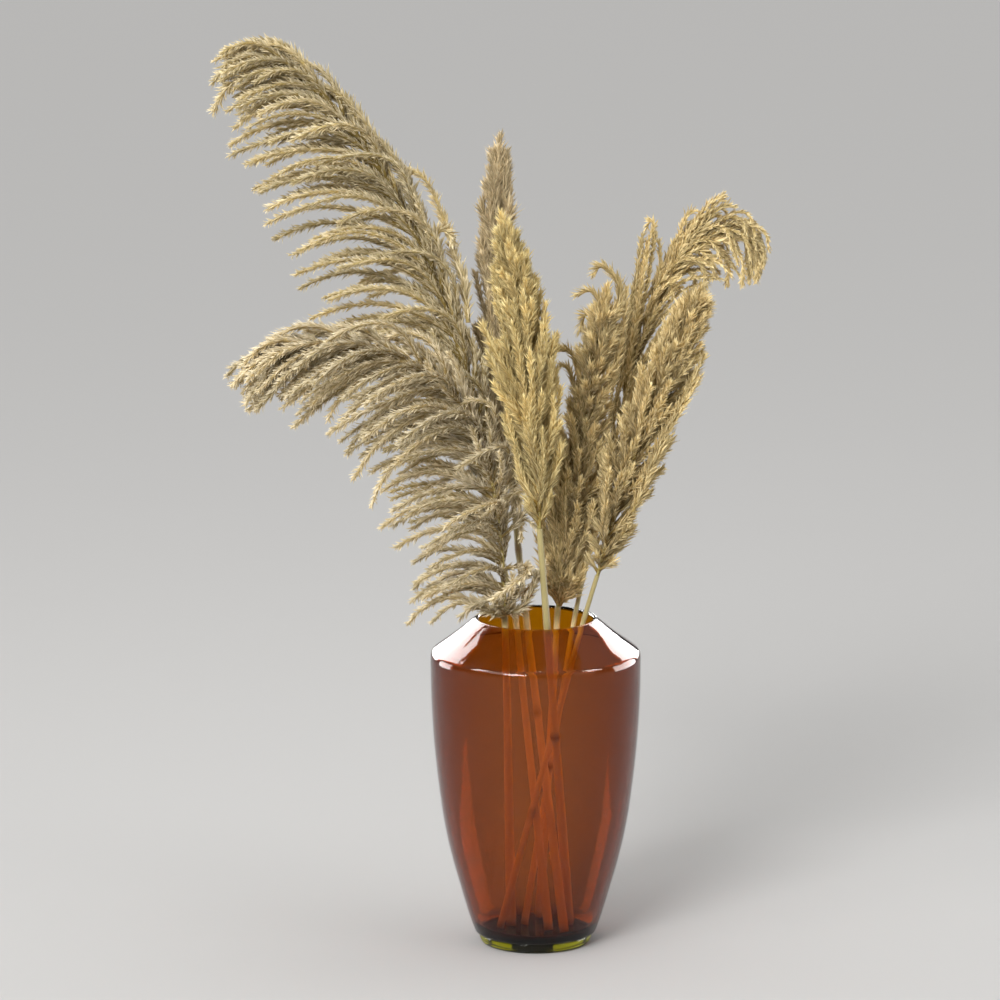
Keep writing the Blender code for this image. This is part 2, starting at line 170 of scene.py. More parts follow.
class Surface(Nodes):
    """The node tree of one material, built round a Principled shader."""

    def __init__(self, name: str, **constants: Any) -> None:
        """Starts a material.

        Args:
            name: the material's name.
            constants: values set on the shader's own sockets, with _ for a space.
        """
        self.material = bpy.data.materials.new(name)
        self.material.use_nodes = True
        super().__init__(self.material.node_tree)
        self.tree.nodes.clear()
        values = {key.replace("_", " "): value for key, value in constants.items()}
        self.shader = self.add("ShaderNodeBsdfPrincipled", {}, values)
        self.output = self.add("ShaderNodeOutputMaterial", {}, {"Surface": self.shader.outputs[0]})

    def feed(self, socket: str, value: Any) -> None:
        """Links a value to one of the shader's sockets."""
        source = value.socket if isinstance(value, Number) else value
        self.tree.links.new(source, self.shader.inputs[socket])

    def place(self, stretch: Triple = (1.0, 1.0, 1.0)) -> Any:
        """Gives the object's own coordinates, stretched along each axis."""
        coordinates = self.add("ShaderNodeTexCoord").outputs["Object"]
        return self.add("ShaderNodeMapping", {}, {"Vector": coordinates, "Scale": stretch}).outputs[0]

    def attribute(self, name: str) -> Number:
        """Reads a number that the mesh holds."""
        return self.number("ShaderNodeAttribute", {"attribute_name": name}, output="Fac")

    def noise(self, scale: float, stretch: Triple = (1.0, 1.0, 1.0)) -> Number:
        """Smooth noise in the object's own coordinates, about 0 to 1."""
        inputs = {"Vector": self.place(stretch), "Scale": scale, "Detail": NOISE_DETAIL}
        return self.number("ShaderNodeTexNoise", {}, inputs, "Fac")

    def mix(self, factor: Any, first: Any, second: Any, blend: str = "MIX") -> Any:
        """Mixes two colours.

        Args:
            factor: how much of the second, a number or a wrapped socket.
            first: a colour or a socket.
            second: a colour or a socket.
            blend: the blend type.

        Returns:
            The mixed colour's socket.
        """
        settings = {"data_type": "RGBA", "blend_type": blend, "clamp_factor": True}
        sides = [(*side, 1.0) if isinstance(side, tuple) else side for side in (first, second)]
        inputs = {"Factor": factor, "A": sides[0], "B": sides[1]}
        return self.add("ShaderNodeMix", settings, inputs).outputs["Result"]

    def bump(self, height: Number, distance: float, strength: float) -> None:
        """Feeds the shader's normal from a height."""
        inputs = {"Height": height, "Distance": distance, "Strength": strength}
        self.feed("Normal", self.add("ShaderNodeBump", {}, inputs).outputs[0])


# Finishes


@dataclass(frozen=True)
class AmberGlass:
    """Clear amber glass: thin it is yellow, thicker it is orange, and thickest it is dark brown."""

    name: str = "amber_glass"
    density: float = 1500.0
    passed: Colour = (0.885, 0.745, 0.05)
    refraction: float = 1.42

    def make(self) -> bpy.types.Material:
        """Makes the material, with the colour held in the glass's volume."""
        surface = Surface(self.name, Base_Color=(1.0, 1.0, 1.0, 1.0), Roughness=0.0, IOR=self.refraction,
                          Transmission_Weight=1.0, Specular_IOR_Level=0.3)
        inputs = {"Color": (*self.passed, 1.0), "Density": self.density}
        body = surface.add("ShaderNodeVolumeAbsorption", {}, inputs)
        surface.tree.links.new(body.outputs[0], surface.output.inputs["Volume"])
        return surface.material


@dataclass(frozen=True)
class Straw:
    """A dried reed: pale straw with lengthwise fibres, browner at its nodes and foot, with painted light that
    makes it paler inside the vase.
    """

    pale: Colour = (0.53, 0.45, 0.20)
    dull: Colour = (0.38, 0.30, 0.12)
    brown: Colour = (0.20, 0.12, 0.05)
    # Painted light: the reed's paler colour inside the glass, which stands in for the light that the glass
    # keeps off it.
    painted_light_colour: Colour = (1.0, 0.86, 0.50)
    painted_light_height: float = 0.30
    fibre_stretch: Triple = (1400.0, 1400.0, 26.0)
    patch_scale: float = 24.0
    fibre_depth: float = 0.0004

    def make(self) -> bpy.types.Material:
        """Makes the material from the reed's own coordinates and its node marks."""
        surface = Surface("straw", Roughness=0.5, Sheen_Weight=0.1)
        fibres = surface.noise(1.0, self.fibre_stretch)
        patches = surface.noise(self.patch_scale)
        colour = surface.mix(fibres * 0.6 + patches * 0.5 - 0.1, self.pale, self.dull)
        height = surface.number("ShaderNodeSeparateXYZ", {}, {"Vector": surface.place()}, "Z")
        # Painted light: below 0.30 m, inside the glass, the reed turns paler to stand in for the light that
        # the glass keeps off it.
        pale = surface.mix(fibres * 0.4, self.painted_light_colour, self.pale)
        colour = surface.mix((self.painted_light_height - height) * 100.0, colour, pale)
        colour = surface.mix(surface.attribute("mark"), colour, self.brown)
        surface.feed("Base Color", colour)
        surface.feed("Roughness", 0.42 + 0.25 * fibres)
        surface.bump(fibres, self.fibre_depth, 0.5)
        return surface.material


@dataclass(frozen=True)
class Fluff:
    """Dry plume hair: darker deep in the plume, partly its own colour and partly painted shade, paler out
    along each branch, and paler at each hair's tip, partly its own colour and partly a painted highlight.
    """

    name: str
    # deep: the colour in the plume's core, partly its own colour and partly painted shade.
    deep: Colour
    body: Colour
    # tip: the colour at each hair's tip, partly its own paler end and partly a painted highlight.
    tip: Colour
    rachis: Colour = (0.50, 0.40, 0.13)
    patch_scale: float = 42.0

    def make(self) -> bpy.types.Material:
        """Makes the material from the places that the hairs carry: along the branch, and along the hair."""
        surface = Surface(self.name, Roughness=0.8, Sheen_Weight=0.1, Specular_IOR_Level=0.2)
        along = surface.attribute("share")
        hair = surface.attribute("hair_place")
        branch_tone = surface.attribute("tone")
        hair_tone = surface.attribute("hair_tone")
        patches = surface.noise(self.patch_scale)
        # Painted shade, in part: the hair is darker near the rachis, deep in the plume, partly its own colour
        # and partly painted shade.
        outer = along * 0.95 + patches * 0.7 - 0.3
        colour = surface.mix(outer, self.deep, self.body)
        # Painted highlight, in part: each hair is paler towards its tip, partly its own colour and partly a
        # painted highlight.
        pale = hair * (0.4 + 0.65 * hair_tone)
        colour = surface.mix(pale, colour, self.tip)
        colour = surface.mix(surface.attribute("mark"), colour, self.rachis)
        shade = 0.66 + 0.3 * branch_tone + 0.34 * hair_tone
        channels = {"Red": shade, "Green": shade, "Blue": shade}
        grey = surface.add("ShaderNodeCombineColor", {}, channels).outputs[0]
        surface.feed("Base Color", surface.mix(1.0, colour, grey, "MULTIPLY"))
        return surface.material


class Tint(Enum):
    """The plumes' named colours."""

    # The deep colours are partly painted shade, and the tip colours partly painted highlights.
    BEIGE = Fluff("beige_plume", (0.28, 0.19, 0.055), (0.65, 0.51, 0.25), (0.95, 0.86, 0.65))
    OLIVE = Fluff("olive_beige_plume", (0.27, 0.185, 0.04), (0.62, 0.48, 0.20), (0.94, 0.84, 0.60))
    YELLOW = Fluff("yellow_plume", (0.32, 0.20, 0.035), (0.74, 0.55, 0.19), (1.0, 0.87, 0.48))
    TAUPE = Fluff("taupe_plume", (0.25, 0.17, 0.06), (0.53, 0.40, 0.20), (0.82, 0.69, 0.45))
    BROWN = Fluff("brown_beige_plume", (0.27, 0.17, 0.035), (0.64, 0.475, 0.18), (0.96, 0.81, 0.47))


# Geometry by rule


def smooth_point(points: Sequence[Vector], place: float) -> Vector:
    """The point of a smooth curve through the given ones, where place runs from 0 to 1."""
    spans = len(points) - 1
    at = min(max(place, 0.0), 1.0) * spans
    span = min(int(at), spans - 1)
    u = at - span
    before, start = points[max(span - 1, 0)], points[span]
    end, after = points[span + 1], points[min(span + 2, spans)]
    return 0.5 * (
        2.0 * start
        + (end - before) * u
        + (2.0 * before - 5.0 * start + 4.0 * end - after) * u ** 2
        + (3.0 * start - before - 3.0 * end + after) * u ** 3
    )


def smooth_path(points: Sequence[Vector], count: int) -> list[Vector]:
    """Points spread evenly by place on a smooth curve through the given ones."""
    return [smooth_point(points, k / (count - 1)) for k in range(count)]


class Strands:
    """Many open paths in one mesh of edges, each point with its numbers for the node trees."""

    FIELDS = ("share", "girth", "core", "tone", "mark")

    def __init__(self) -> None:
        """Starts with no paths."""
        self.points: list[Vector] = []
        self.edges: list[tuple[int, int]] = []
        self.values: dict[str, list[float]] = {name: [] for name in self.FIELDS}

    def add(self, path: Sequence[Vector], **fields: Iterable[float]) -> None:
        """Adds one path.

        Args:
            path: its points.
            fields: for each field, a number for every point. A field left out is 0.
        """
        first = len(self.points)
        self.points += path
        self.edges += [(first + k, first + k + 1) for k in range(len(path) - 1)]
        for name, values in self.values.items():
            values += list(fields.get(name, [0.0] * len(path)))

    def make(self, name: str) -> bpy.types.Object:
        """Makes the mesh of edges as an object."""
        mesh = bpy.data.meshes.new(name)
        mesh.from_pydata(self.points, self.edges, [])
        for field_name, values in self.values.items():
            mesh.attributes.new(field_name, "FLOAT", "POINT").data.foreach_set("value", values)
        made = bpy.data.objects.new(name, mesh)
        bpy.context.scene.collection.objects.link(made)
        return made


class StrandTree(Nodes):
    """A geometry tree that turns strands into tubes, and can set hairs along them."""

    SIZES = {
        "Spacing": ("NodeSocketFloat", 0.0004),
        "Hair Length": ("NodeSocketFloat", 0.008),
        "Hair Width": ("NodeSocketFloat", 0.001),
        "Splay": ("NodeSocketFloat", 0.4),
        "Seed": ("NodeSocketInt", 1),
        "Sides": ("NodeSocketInt", 3),
        "Hair": ("NodeSocketObject", None),
        "Material": ("NodeSocketMaterial", None),
    }
    TURNS = (-1.6, 1.6)
    LEANS = (0.4, 1.5)
    LENGTHS = (0.6, 1.25)
    WIDTHS = (0.7, 1.3)
    BARE_GIRTH = 0.08

    def __init__(self, name: str, haired: bool) -> None:
        """Builds the tree.

        Args:
            name: the tree's name.
            haired: whether hairs grow along the strands.
        """
        super().__init__(bpy.data.node_groups.new(name, "GeometryNodeTree"))
        face = self.tree.interface
        face.new_socket(name="Geometry", in_out="INPUT", socket_type="NodeSocketGeometry")
        self.sockets = {}
        for socket_name, (kind, value) in self.SIZES.items():
            self.sockets[socket_name] = face.new_socket(name=socket_name, in_out="INPUT", socket_type=kind)
            if value is not None:
                self.sockets[socket_name].default_value = value
        face.new_socket(name="Geometry", in_out="OUTPUT", socket_type="NodeSocketGeometry")
        given = self.add("NodeGroupInput").outputs
        curve = self.add("GeometryNodeMeshToCurve", {}, {"Mesh": given["Geometry"]}).outputs[0]
        parts = [self._tubes(curve, given)]
        if haired:
            parts.append(self._hairs(curve, given))
        joined = self.add("GeometryNodeJoinGeometry")
        for part in reversed(parts):
            self.tree.links.new(part, joined.inputs[0])
        real = self.add("GeometryNodeRealizeInstances", {}, {"Geometry": joined.outputs[0]}).outputs[0]
        inputs = {"Geometry": real, "Material": given["Material"]}
        dressed = self.add("GeometryNodeSetMaterial", {}, inputs).outputs[0]
        self.add("NodeGroupOutput", {}, {"Geometry": dressed})

    def _field(self, name: str) -> Number:
        """Reads one of the strands' numbers."""
        kind = "GeometryNodeInputNamedAttribute"
        return self.number(kind, {"data_type": "FLOAT"}, {"Name": name}, "Attribute")

    def _random(self, limits: tuple[float, float], given: Any, salt: int) -> Number:
        """A random number for each point, fixed by the tree's seed.

        Args:
            limits: the lowest and the highest number.
            given: the tree's inputs.
            salt: a whole number that sets this draw apart from the others.

        Returns:
            The number.
        """
        seed = Number(self, given["Seed"]) + float(salt)
        inputs = {"Min": limits[0], "Max": limits[1], "Seed": seed}
        return self.number("FunctionNodeRandomValue", {"data_type": "FLOAT"}, inputs, 1)

    def _tubes(self, curve: Any, given: Any) -> Any:
        """Gives each strand a closed tube whose radius is its core."""
        ring = self.add("GeometryNodeCurvePrimitiveCircle", {}, {"Resolution": given["Sides"], "Radius": 1.0})
        inputs = {
            "Curve": curve,
            "Profile Curve": ring.outputs[0],
            "Scale": self._field("core"),
            "Fill Caps": True,
        }
        return self.add("GeometryNodeCurveToMesh", {}, inputs).outputs[0]

    def _turned(self, rotation: Any, axis: Triple, angle: Number) -> Any:
        """Turns a rotation about one of its own axes, by an angle in radians."""
        spin = self.add("FunctionNodeAxisAngleToRotation", {}, {"Axis": axis, "Angle": angle}).outputs[0]
        inputs = {"Rotation": rotation, "Rotate By": spin}
        return self.add("FunctionNodeRotateRotation", {"rotation_space": "LOCAL"}, inputs).outputs[0]

    def _rotation(self, given: Any) -> Any:
        """How each hair lies: along its strand, turned round it by the golden angle, and leaning out."""
        tangent = self.add("GeometryNodeInputTangent").outputs[0]
        lie = self.add("FunctionNodeAlignRotationToVector", {"axis": "Z"}, {"Vector": tangent}).outputs[0]
        turn = self.number("GeometryNodeInputIndex") * GOLDEN_ANGLE + self._random(self.TURNS, given, 1)
        spread = self._field("share") * 0.65 + 0.5
        lean = Number(self, given["Splay"]) * spread * self._random(self.LEANS, given, 2)
        return self._turned(self._turned(lie, (0.0, 0.0, 1.0), turn), (1.0, 0.0, 0.0), lean)

    def _size(self, girth: Number, given: Any) -> Any:
        """How wide and long each hair is, by its strand's girth there."""
        length = Number(self, given["Hair Length"]) * girth * self._random(self.LENGTHS, given, 3)
        fullness = 0.45 + 0.55 * girth
        width = Number(self, given["Hair Width"]) * fullness * self._random(self.WIDTHS, given, 4)
        return self.add("ShaderNodeCombineXYZ", {}, {"X": width, "Y": width, "Z": length}).outputs[0]

    def _stored(self, hairs: Any, name: str, value: Any) -> Any:
        """Stores a number for each hair."""
        settings = {"data_type": "FLOAT", "domain": "INSTANCE"}
        inputs = {"Geometry": hairs, "Name": name, "Value": value}
        return self.add("GeometryNodeStoreNamedAttribute", settings, inputs).outputs[0]

    def _hairs(self, curve: Any, given: Any) -> Any:
        """Sets a leaning hair at every step along the strands that have enough girth."""
        steps = {"Curve": curve, "Length": given["Spacing"]}
        dense = self.add("GeometryNodeResampleCurve", {"mode": "LENGTH"}, steps).outputs[0]
        girth = self._field("girth")
        above = {"data_type": "FLOAT", "operation": "GREATER_THAN"}
        grown = self.add("FunctionNodeCompare", above, {"A": girth, "B": self.BARE_GIRTH}).outputs[0]
        inputs = {
            "Points": dense,
            "Selection": grown,
            "Instance": self.add("GeometryNodeObjectInfo", {}, {"Object": given["Hair"]}).outputs["Geometry"],
            "Rotation": self._rotation(given),
            "Scale": self._size(girth, given),
        }
        placed = self.add("GeometryNodeInstanceOnPoints", {}, inputs).outputs[0]
        toned = self._stored(placed, "hair_tone", self._random((0.0, 1.0), given, 5))
        return self._stored(toned, "mark", 0.0)

    def apply(self, thing: bpy.types.Object, name: str, **sizes: Any) -> bpy.types.Object:
        """Runs the tree on an object and gives the result as a plain mesh object.

        Args:
            thing: the object of strands, which is removed.
            name: the name of the result.
            sizes: the tree's inputs, with _ for a space.

        Returns:
            The new object, at the origin.
        """
        modifier = thing.modifiers.new("strands", "NODES")
        modifier.node_group = self.tree
        for key, value in sizes.items():
            modifier[self.sockets[key.replace("_", " ")].identifier] = value
        bpy.context.view_layer.update()
        seen = thing.evaluated_get(bpy.context.evaluated_depsgraph_get())
        mesh = bpy.data.meshes.new_from_object(seen)
        mesh.name = name
        thing.modifiers.remove(modifier)
        bpy.data.objects.remove(thing)
        made = bpy.data.objects.new(name, mesh)
        bpy.context.scene.collection.objects.link(made)
        return made


def report(piece: bpy.types.Object) -> None:
    """Logs a finished piece and its number of triangles."""
    triangles = sum(len(face.vertices) - 2 for face in piece.data.polygons)
    log.info("%s: %d triangles", piece.name, triangles)


# Vase


@dataclass
class Vase:
    """The hollow glass vase, turned on its own axis."""

    rim_radius: float = RIM_RADIUS
    foot_radius: float = 51.0 * MM
    rest_radius: float = 48.5 * MM
    wall: float = 3.6 * MM
    floor_height: float = 13.0 * MM
    floor_radius: float = 44.5 * MM
    seam: float = 8.5 * MM
    half_gap: float = 0.1 * MM
    lip: float = 1.75 * MM
    sides: int = 112
    edge_angle: float = 40.0
    finish: AmberGlass = AmberGlass()
    # Painted glint: the foot is the same amber glass, but a paler, yellower glass here stands in for the
    # yellow glints that light gives it.
    painted_glint_glass: AmberGlass = AmberGlass("foot_painted_glint_glass", 300.0, (0.868, 0.866, 0.15))

    def body_curve(self) -> list[Vector]:
        """Radius and height of the outside from above the foot to the rim."""
        body = ((55.0, 11.0), (60.3, 26.0), (67.4, 50.0), (75.8, 80.0), (82.7, 112.0), (88.0, 149.0),
                (92.2, 190.0), (94.3, 228.0))
        shoulder = ((94.8, 254.0), (94.9, 262.0), (94.5, 266.6), (92.9, 269.7), (90.2, 271.9), (85.4, 275.5),
                    (79.0, 280.2), (72.4, 285.2), (65.6, 290.7), (59.6, 295.8), (55.2, 299.4))
        low = smooth_path([Vector((r, z, 0.0)) * MM for r, z in body + shoulder[:1]], 40)
        return low + smooth_path([Vector((r, z, 0.0)) * MM for r, z in shoulder], 46)[1:]

    def outline(self) -> list[tuple[float, float]]:
        """The body's radii and heights, from the middle of its underside round to the inner floor."""
        outer = self.body_curve()
        inner = []
        for before, here, after in zip(outer[1:], outer[2:], outer[3:]):
            run = (after - before).normalized()
            inner.append((here.x - self.wall * run.y, here.y + self.wall * run.x))
        lowest = self.seam + self.half_gap
        underside = [
            (0.0, lowest),
            (self.foot_radius + 0.4 * MM, lowest),
            (self.foot_radius + 2.0 * MM, self.seam + 0.7 * MM),
        ]
        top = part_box("glass_vase")[1].z
        rim = self._round((self.rim_radius - self.lip, top - self.lip), self.lip, 30.0, 170.0, 9)
        wall = [point for point in inner[::-1] if point[1] > self.floor_height + 7.0 * MM]
        hollow = [
            (self.floor_radius + 6.6 * MM, self.floor_height + 3.6 * MM),
            (self.floor_radius + 3.4 * MM, self.floor_height + 1.1 * MM),
            (self.floor_radius, self.floor_height + 0.05 * MM),
            (0.0, self.floor_height),
        ]
        return underside + [(point.x, point.y) for point in outer] + rim + wall + hollow

    def foot_outline(self) -> list[tuple[float, float]]:
        """The foot's outline, from the middle of the underside to the middle of its top."""
        side = ((-0.9, 0.0), (0.1, 0.5), (1.5, 2.5), (2.4, 5.0), (2.9, 7.4))
        edge = [(self.rest_radius + out * MM, height * MM) for out, height in side]
        top = self.seam - self.half_gap
        return [(0.0, 0.0)] + edge + [(self.foot_radius, top), (0.0, top)]

    @staticmethod
    def _round(centre: tuple[float, float], radius: float, start: float, end: float,
               count: int) -> list[tuple[float, float]]:
        """Points of an arc in the outline, from one angle in degrees to another."""
        angles = [math.radians(start + (end - start) * k / (count - 1)) for k in range(count)]
        return [(centre[0] + radius * math.cos(a), centre[1] + radius * math.sin(a)) for a in angles]

    def turned(self, name: str, outline: list[tuple[float, float]], finish: AmberGlass) -> bpy.types.Object:
        """Turns an outline into glass, in place of the solid.

        Args:
            name: the piece's name.
            outline: its radii and heights, from the axis round to the axis.
            finish: its glass.

        Returns:
            The finished piece.
        """
        points: list[Triple] = []
        rings: list[list[int]] = []
        for radius, height in outline:
            count = 1 if radius == 0.0 else self.sides
            rings.append(list(range(len(points), len(points) + count)))
            for k in range(count):
                angle = 2.0 * math.pi * k / self.sides
                points.append((radius * math.cos(angle), radius * math.sin(angle), height))
        faces = []
        for lower, upper in zip(rings, rings[1:]):
            for k in range(self.sides):
                following = (k + 1) % self.sides
                if len(lower) == 1:
                    faces.append((lower[0], upper[following], upper[k]))
                elif len(upper) == 1:
                    faces.append((lower[k], lower[following], upper[0]))
                else:
                    faces.append((lower[k], lower[following], upper[following], upper[k]))
        mesh = bpy.data.meshes.new(name)
        mesh.from_pydata(points, [], faces)
        mesh.shade_smooth()
        mesh.set_sharp_from_angle(angle=math.radians(self.edge_angle))
        mesh.materials.append(finish.make())
        made = bpy.data.objects.new(name, mesh)
        bpy.context.scene.collection.objects.link(made)
        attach(made, "root")
        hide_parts("glass_vase")
        report(made)
        return made

    def build(self) -> list[bpy.types.Object]:
        """Makes the hollow body and the foot under it, whose paler glass gives the foot painted yellow
        glints.
        """
        return [
            self.turned("vase_glass", self.outline(), self.finish),
            self.turned("vase_foot", self.foot_outline(), self.painted_glint_glass),
        ]


# Stalks


@dataclass(frozen=True)
class Hairs:
    """One kind of hair along the branches, and the radius of the core that it covers. Splay is in radians."""

    length: float
    width: float
    splay: float
    spacing: float
    core: float


class Habit(Enum):
    """How a plume wears its hair: in separate ropes, in slimmer combed ones, or as one woolly mass."""

    ROPED = Hairs(8.8 * MM, 1.85 * MM, math.radians(33.0), 0.32 * MM, 2.6 * MM)
    COMBED = Hairs(6.4 * MM, 1.6 * MM, math.radians(27.0), 0.32 * MM, 2.0 * MM)
    WOOLLY = Hairs(12.0 * MM, 1.6 * MM, math.radians(24.0), 0.27 * MM, 2.1 * MM)


@dataclass
class Stem:
    """A cut reed that stands on the vase's floor and leans through its mouth to the plume's base.

    Attributes:
        stalk: the stalk's name.
        foot: where it stands, across and deep, in millimetres.
        rim: where it passes the height of the rim, in millimetres.
        radius: its radius in metres, before its taper.
        node_heights: the heights of its swollen nodes, in millimetres.
    """

    stalk: str
    foot: tuple[float, float]
    rim: tuple[float, float]
    radius: float
    node_heights: tuple[float, ...] = ()
    sides: int = 16
    path_points: int = 60
    floor_room: float = 0.2 * MM
    top_room: float = 0.5 * MM
    near_rim: float = 20.0 * MM
    end_share: float = 0.05
    foot_share: float = 1.25
    taper: float = 0.49
    swelling: float = 0.3
    node_reach: float = 3.2 * MM
    unevenness: float = 0.02
    node_mark: float = 0.75
    foot_mark: float = 0.8
    foot_fade: float = 40.0
    edge_angle: float = 60.0

    def path(self) -> list[Vector]:
        """Points of the reed, with its ends just inside the solid's."""
        low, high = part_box(f"{self.stalk}_stem")
        top = Vector(PLUME_BASES[self.stalk]) * MM
        rim_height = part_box("glass_vase")[1].z
        foot = Vector((self.foot[0] * MM, self.foot[1] * MM, low.z + self.floor_room))
        rim = Vector((self.rim[0] * MM, self.rim[1] * MM, rim_height))
        inside = [foot.lerp(rim, share) for share in (0.25, 0.5, 0.75)]
        at_rim = [] if top.z - rim.z < self.near_rim else [rim]
        line = smooth_path([foot] + inside + at_rim + [top], self.path_points)
        below_top = [point for point in line if point.z < high.z - self.top_room]
        return below_top + [line[-1].lerp(line[-2], self.end_share)]

    def build(self, tree: StrandTree, straw: bpy.types.Material) -> bpy.types.Object:
        """Makes the reed in place of its solid.

        Args:
            tree: the tree that makes tubes.
            straw: its finish.

        Returns:
            The finished reed.
        """
        path = self.path()
        low, high = path[0].z, path[-1].z
        radii, marks = [], []
        rng = random.Random(self.stalk)
        for point in path:
            share = (point.z - low) / (high - low)
            near = min([abs(point.z - height * MM) for height in self.node_heights] + [1.0])
            swell = math.exp(-((near / self.node_reach) ** 2))
            even = self.radius * (self.foot_share - self.taper * share) * (1.0 + self.swelling * swell)
            radii.append(even * (1.0 + self.unevenness * rng.uniform(-1, 1)))
            cut_end = max(0.0, 1.0 - share * self.foot_fade)
            marks.append(max(self.node_mark * swell, self.foot_mark * cut_end))
        strands = Strands()
        strands.add(path, core=radii, mark=marks)
        line = strands.make(f"{self.stalk}_line")
        made = tree.apply(line, f"{self.stalk}_reed", Sides=self.sides, Material=straw)
        made.data.shade_smooth()
        made.data.set_sharp_from_angle(angle=math.radians(self.edge_angle))
        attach(made, "root")
        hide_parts(f"{self.stalk}_stem")
        report(made)
        return made


@dataclass
class Plume:
    """A plume: a rachis whose branches set off along it, bend over to their droop and carry fine hair.

    Points and lengths are in millimetres unless another unit is named.

    Attributes:
        stalk: the stalk's name.
        spine: points of the rachis, from its base up.
        base_radius: the rachis's radius at its base, in metres.
        branches: how many branches grow along it.
        lengths: how long the branches are at the base, where they are longest, and at the top.
        opening_low: how wide the branches set off at the base, in degrees.
        opening: how wide they set off higher up, in degrees.
        side_pull: how far they gather on the side that they droop to.
        droop_low: the way that the lowest branches bend to.
        droop: the way that the others bend to.
        bend: how far a branch has bent to its droop at its tip.
        tint: the colours of the hair.
        habit: the kind of hair.
        seed: what the random draws start from.
        slot: the material slot, which is not used.
        turn: how late along the plume the droop changes.
        erect: the share of branches that stand up along the rachis.
        apex: the point beyond the spine in which the plume ends.
        outline: how far from the middle line branches may reach, by the distance below the apex.
        strays: the points of single branches that are placed one by one.
        branch_points: how many points each branch has.
        leaders: how many branches stand up round the tip.
        curl: how late along a branch it bends.
        stray_girth: how much longer than usual the strays' hair is.
    """

    LONGEST_AT = 0.45
    SPINE_POINTS = 60
    AXIS_POINTS = 50
    FIRST_PLACE = 0.01
    PLACE_RANGE = 0.955
    PLACE_POWER = 0.94
    DROOP_CHANGE = 1.3
    LENGTH_RANGE = (0.78, 1.0)
    HAIR_ROOM = 0.6
    ERECT_LENGTH = 0.5
    OPENING_FADE = 2.5
    OPENING_RANGE = (0.7, 1.3)
    ANGLE_RANGE = (-0.3, 0.3)
    ATTEMPTS = 8
    ATTEMPT_TURN = 0.7
    FEWEST_POINTS = 4
    TIP_REACH = 2.0 * MM
    SWAY = 0.1
    SWAY_WAVES = 7.0
    PHASE_RANGE = (0.0, 6.0)
    LEADER_LENGTH = 84.0 * MM
    LEADER_GAP = 2.2
    LEADER_DROP = 0.12
    LEADER_TURNS = (-0.4, 0.4)
    LEADER_SHARE = 0.3
    STRAY_SHARE = 0.5
    ROOT_GIRTH = 0.5
    SILKY_GIRTH = 0.75
    SILKY_END = 0.6
    TIP_START = 0.75
    TIP_LOSS = 0.28
    GIRTH_RANGE = (0.86, 1.1)
    CORE_TAPER = 0.6
    RACHIS_TAPER = 0.7
    RACHIS_GIRTHS = (0.25, 0.9)
    RACHIS_SHARE = 0.2

    stalk: str
    spine: tuple[Triple, ...]
    base_radius: float
    branches: int
    lengths: Triple
    opening_low: float
    opening: float
    side_pull: float
    droop_low: Triple
    droop: Triple
    bend: float
    tint: Tint
    habit: Habit
    seed: int
    slot: str
    turn: float = 1.7
    erect: float = 0.0
    apex: Triple | None = None
    outline: tuple[tuple[float, float], ...] = ()
    strays: tuple[tuple[Triple, ...], ...] = ()
    branch_points: int = 15
    leaders: int = 0
    curl: float = 1.1
    stray_girth: float = 1.0

    def length(self, place: float) -> float:
        """A branch's length by its place on the plume."""
        low, middle, high = self.lengths
        if place < self.LONGEST_AT:
            return low + (middle - low) * math.sin(0.5 * math.pi * place / self.LONGEST_AT)
        above = (place - self.LONGEST_AT) / (1.0 - self.LONGEST_AT)
        return high + (middle - high) * math.cos(0.5 * math.pi * above)

    def axis(self) -> list[Vector]:
        """The plume's middle line, from its base to its apex."""
        points = self.spine + (self.apex or self.spine[-1],)
        return smooth_path([Vector(point) * MM for point in points], self.AXIS_POINTS)

    def inside(self, point: Vector, axis: list[Vector]) -> bool:
        """Whether a point is inside the plume's outline.

        Args:
            point: a point of a branch.
            axis: the plume's middle line.

        Returns:
            True where the plume has no outline, or the point is near enough to the middle line.
        """
        if not self.outline:
            return True
        j = min(range(len(axis)), key=lambda k: (axis[k] - point).length)
        below = sum((axis[k + 1] - axis[k]).length for k in range(j, len(axis) - 1))
        reach = (axis[j] - point).length
        if j == len(axis) - 1 and reach > self.TIP_REACH:
            return False
        for (low, near), (high, far) in zip(self.outline, self.outline[1:]):
            if below <= high * MM:
                return reach <= (near + (far - near) * (below / MM - low) / (high - low)) * MM
        return reach <= self.outline[-1][1] * MM

    def branch(self, start: Vector, heading: Vector, droop: Vector, length: float,
               rng: random.Random) -> list[Vector]:
        """One branch's points.

        Args:
            start: where it leaves the rachis.
            heading: the way it sets off.
            droop: the way it bends to.
            length: its length.
            rng: the plume's random numbers.

        Returns:
            The points from root to tip.
        """
        steps = self.branch_points - 1
        sway = Vector((rng.uniform(-1, 1), rng.uniform(-1, 1), rng.uniform(-1, 1))) * self.SWAY
        phase = rng.uniform(*self.PHASE_RANGE)
        path = [start]
        for k in range(steps):
            share = (k + 0.5) / steps
            way = heading.lerp(droop, min(self.bend * share ** self.curl, 1.0)).normalized()
            way = (way + sway * math.sin(phase + self.SWAY_WAVES * share)).normalized()
            path.append(path[-1] + way * length / steps)
        return path

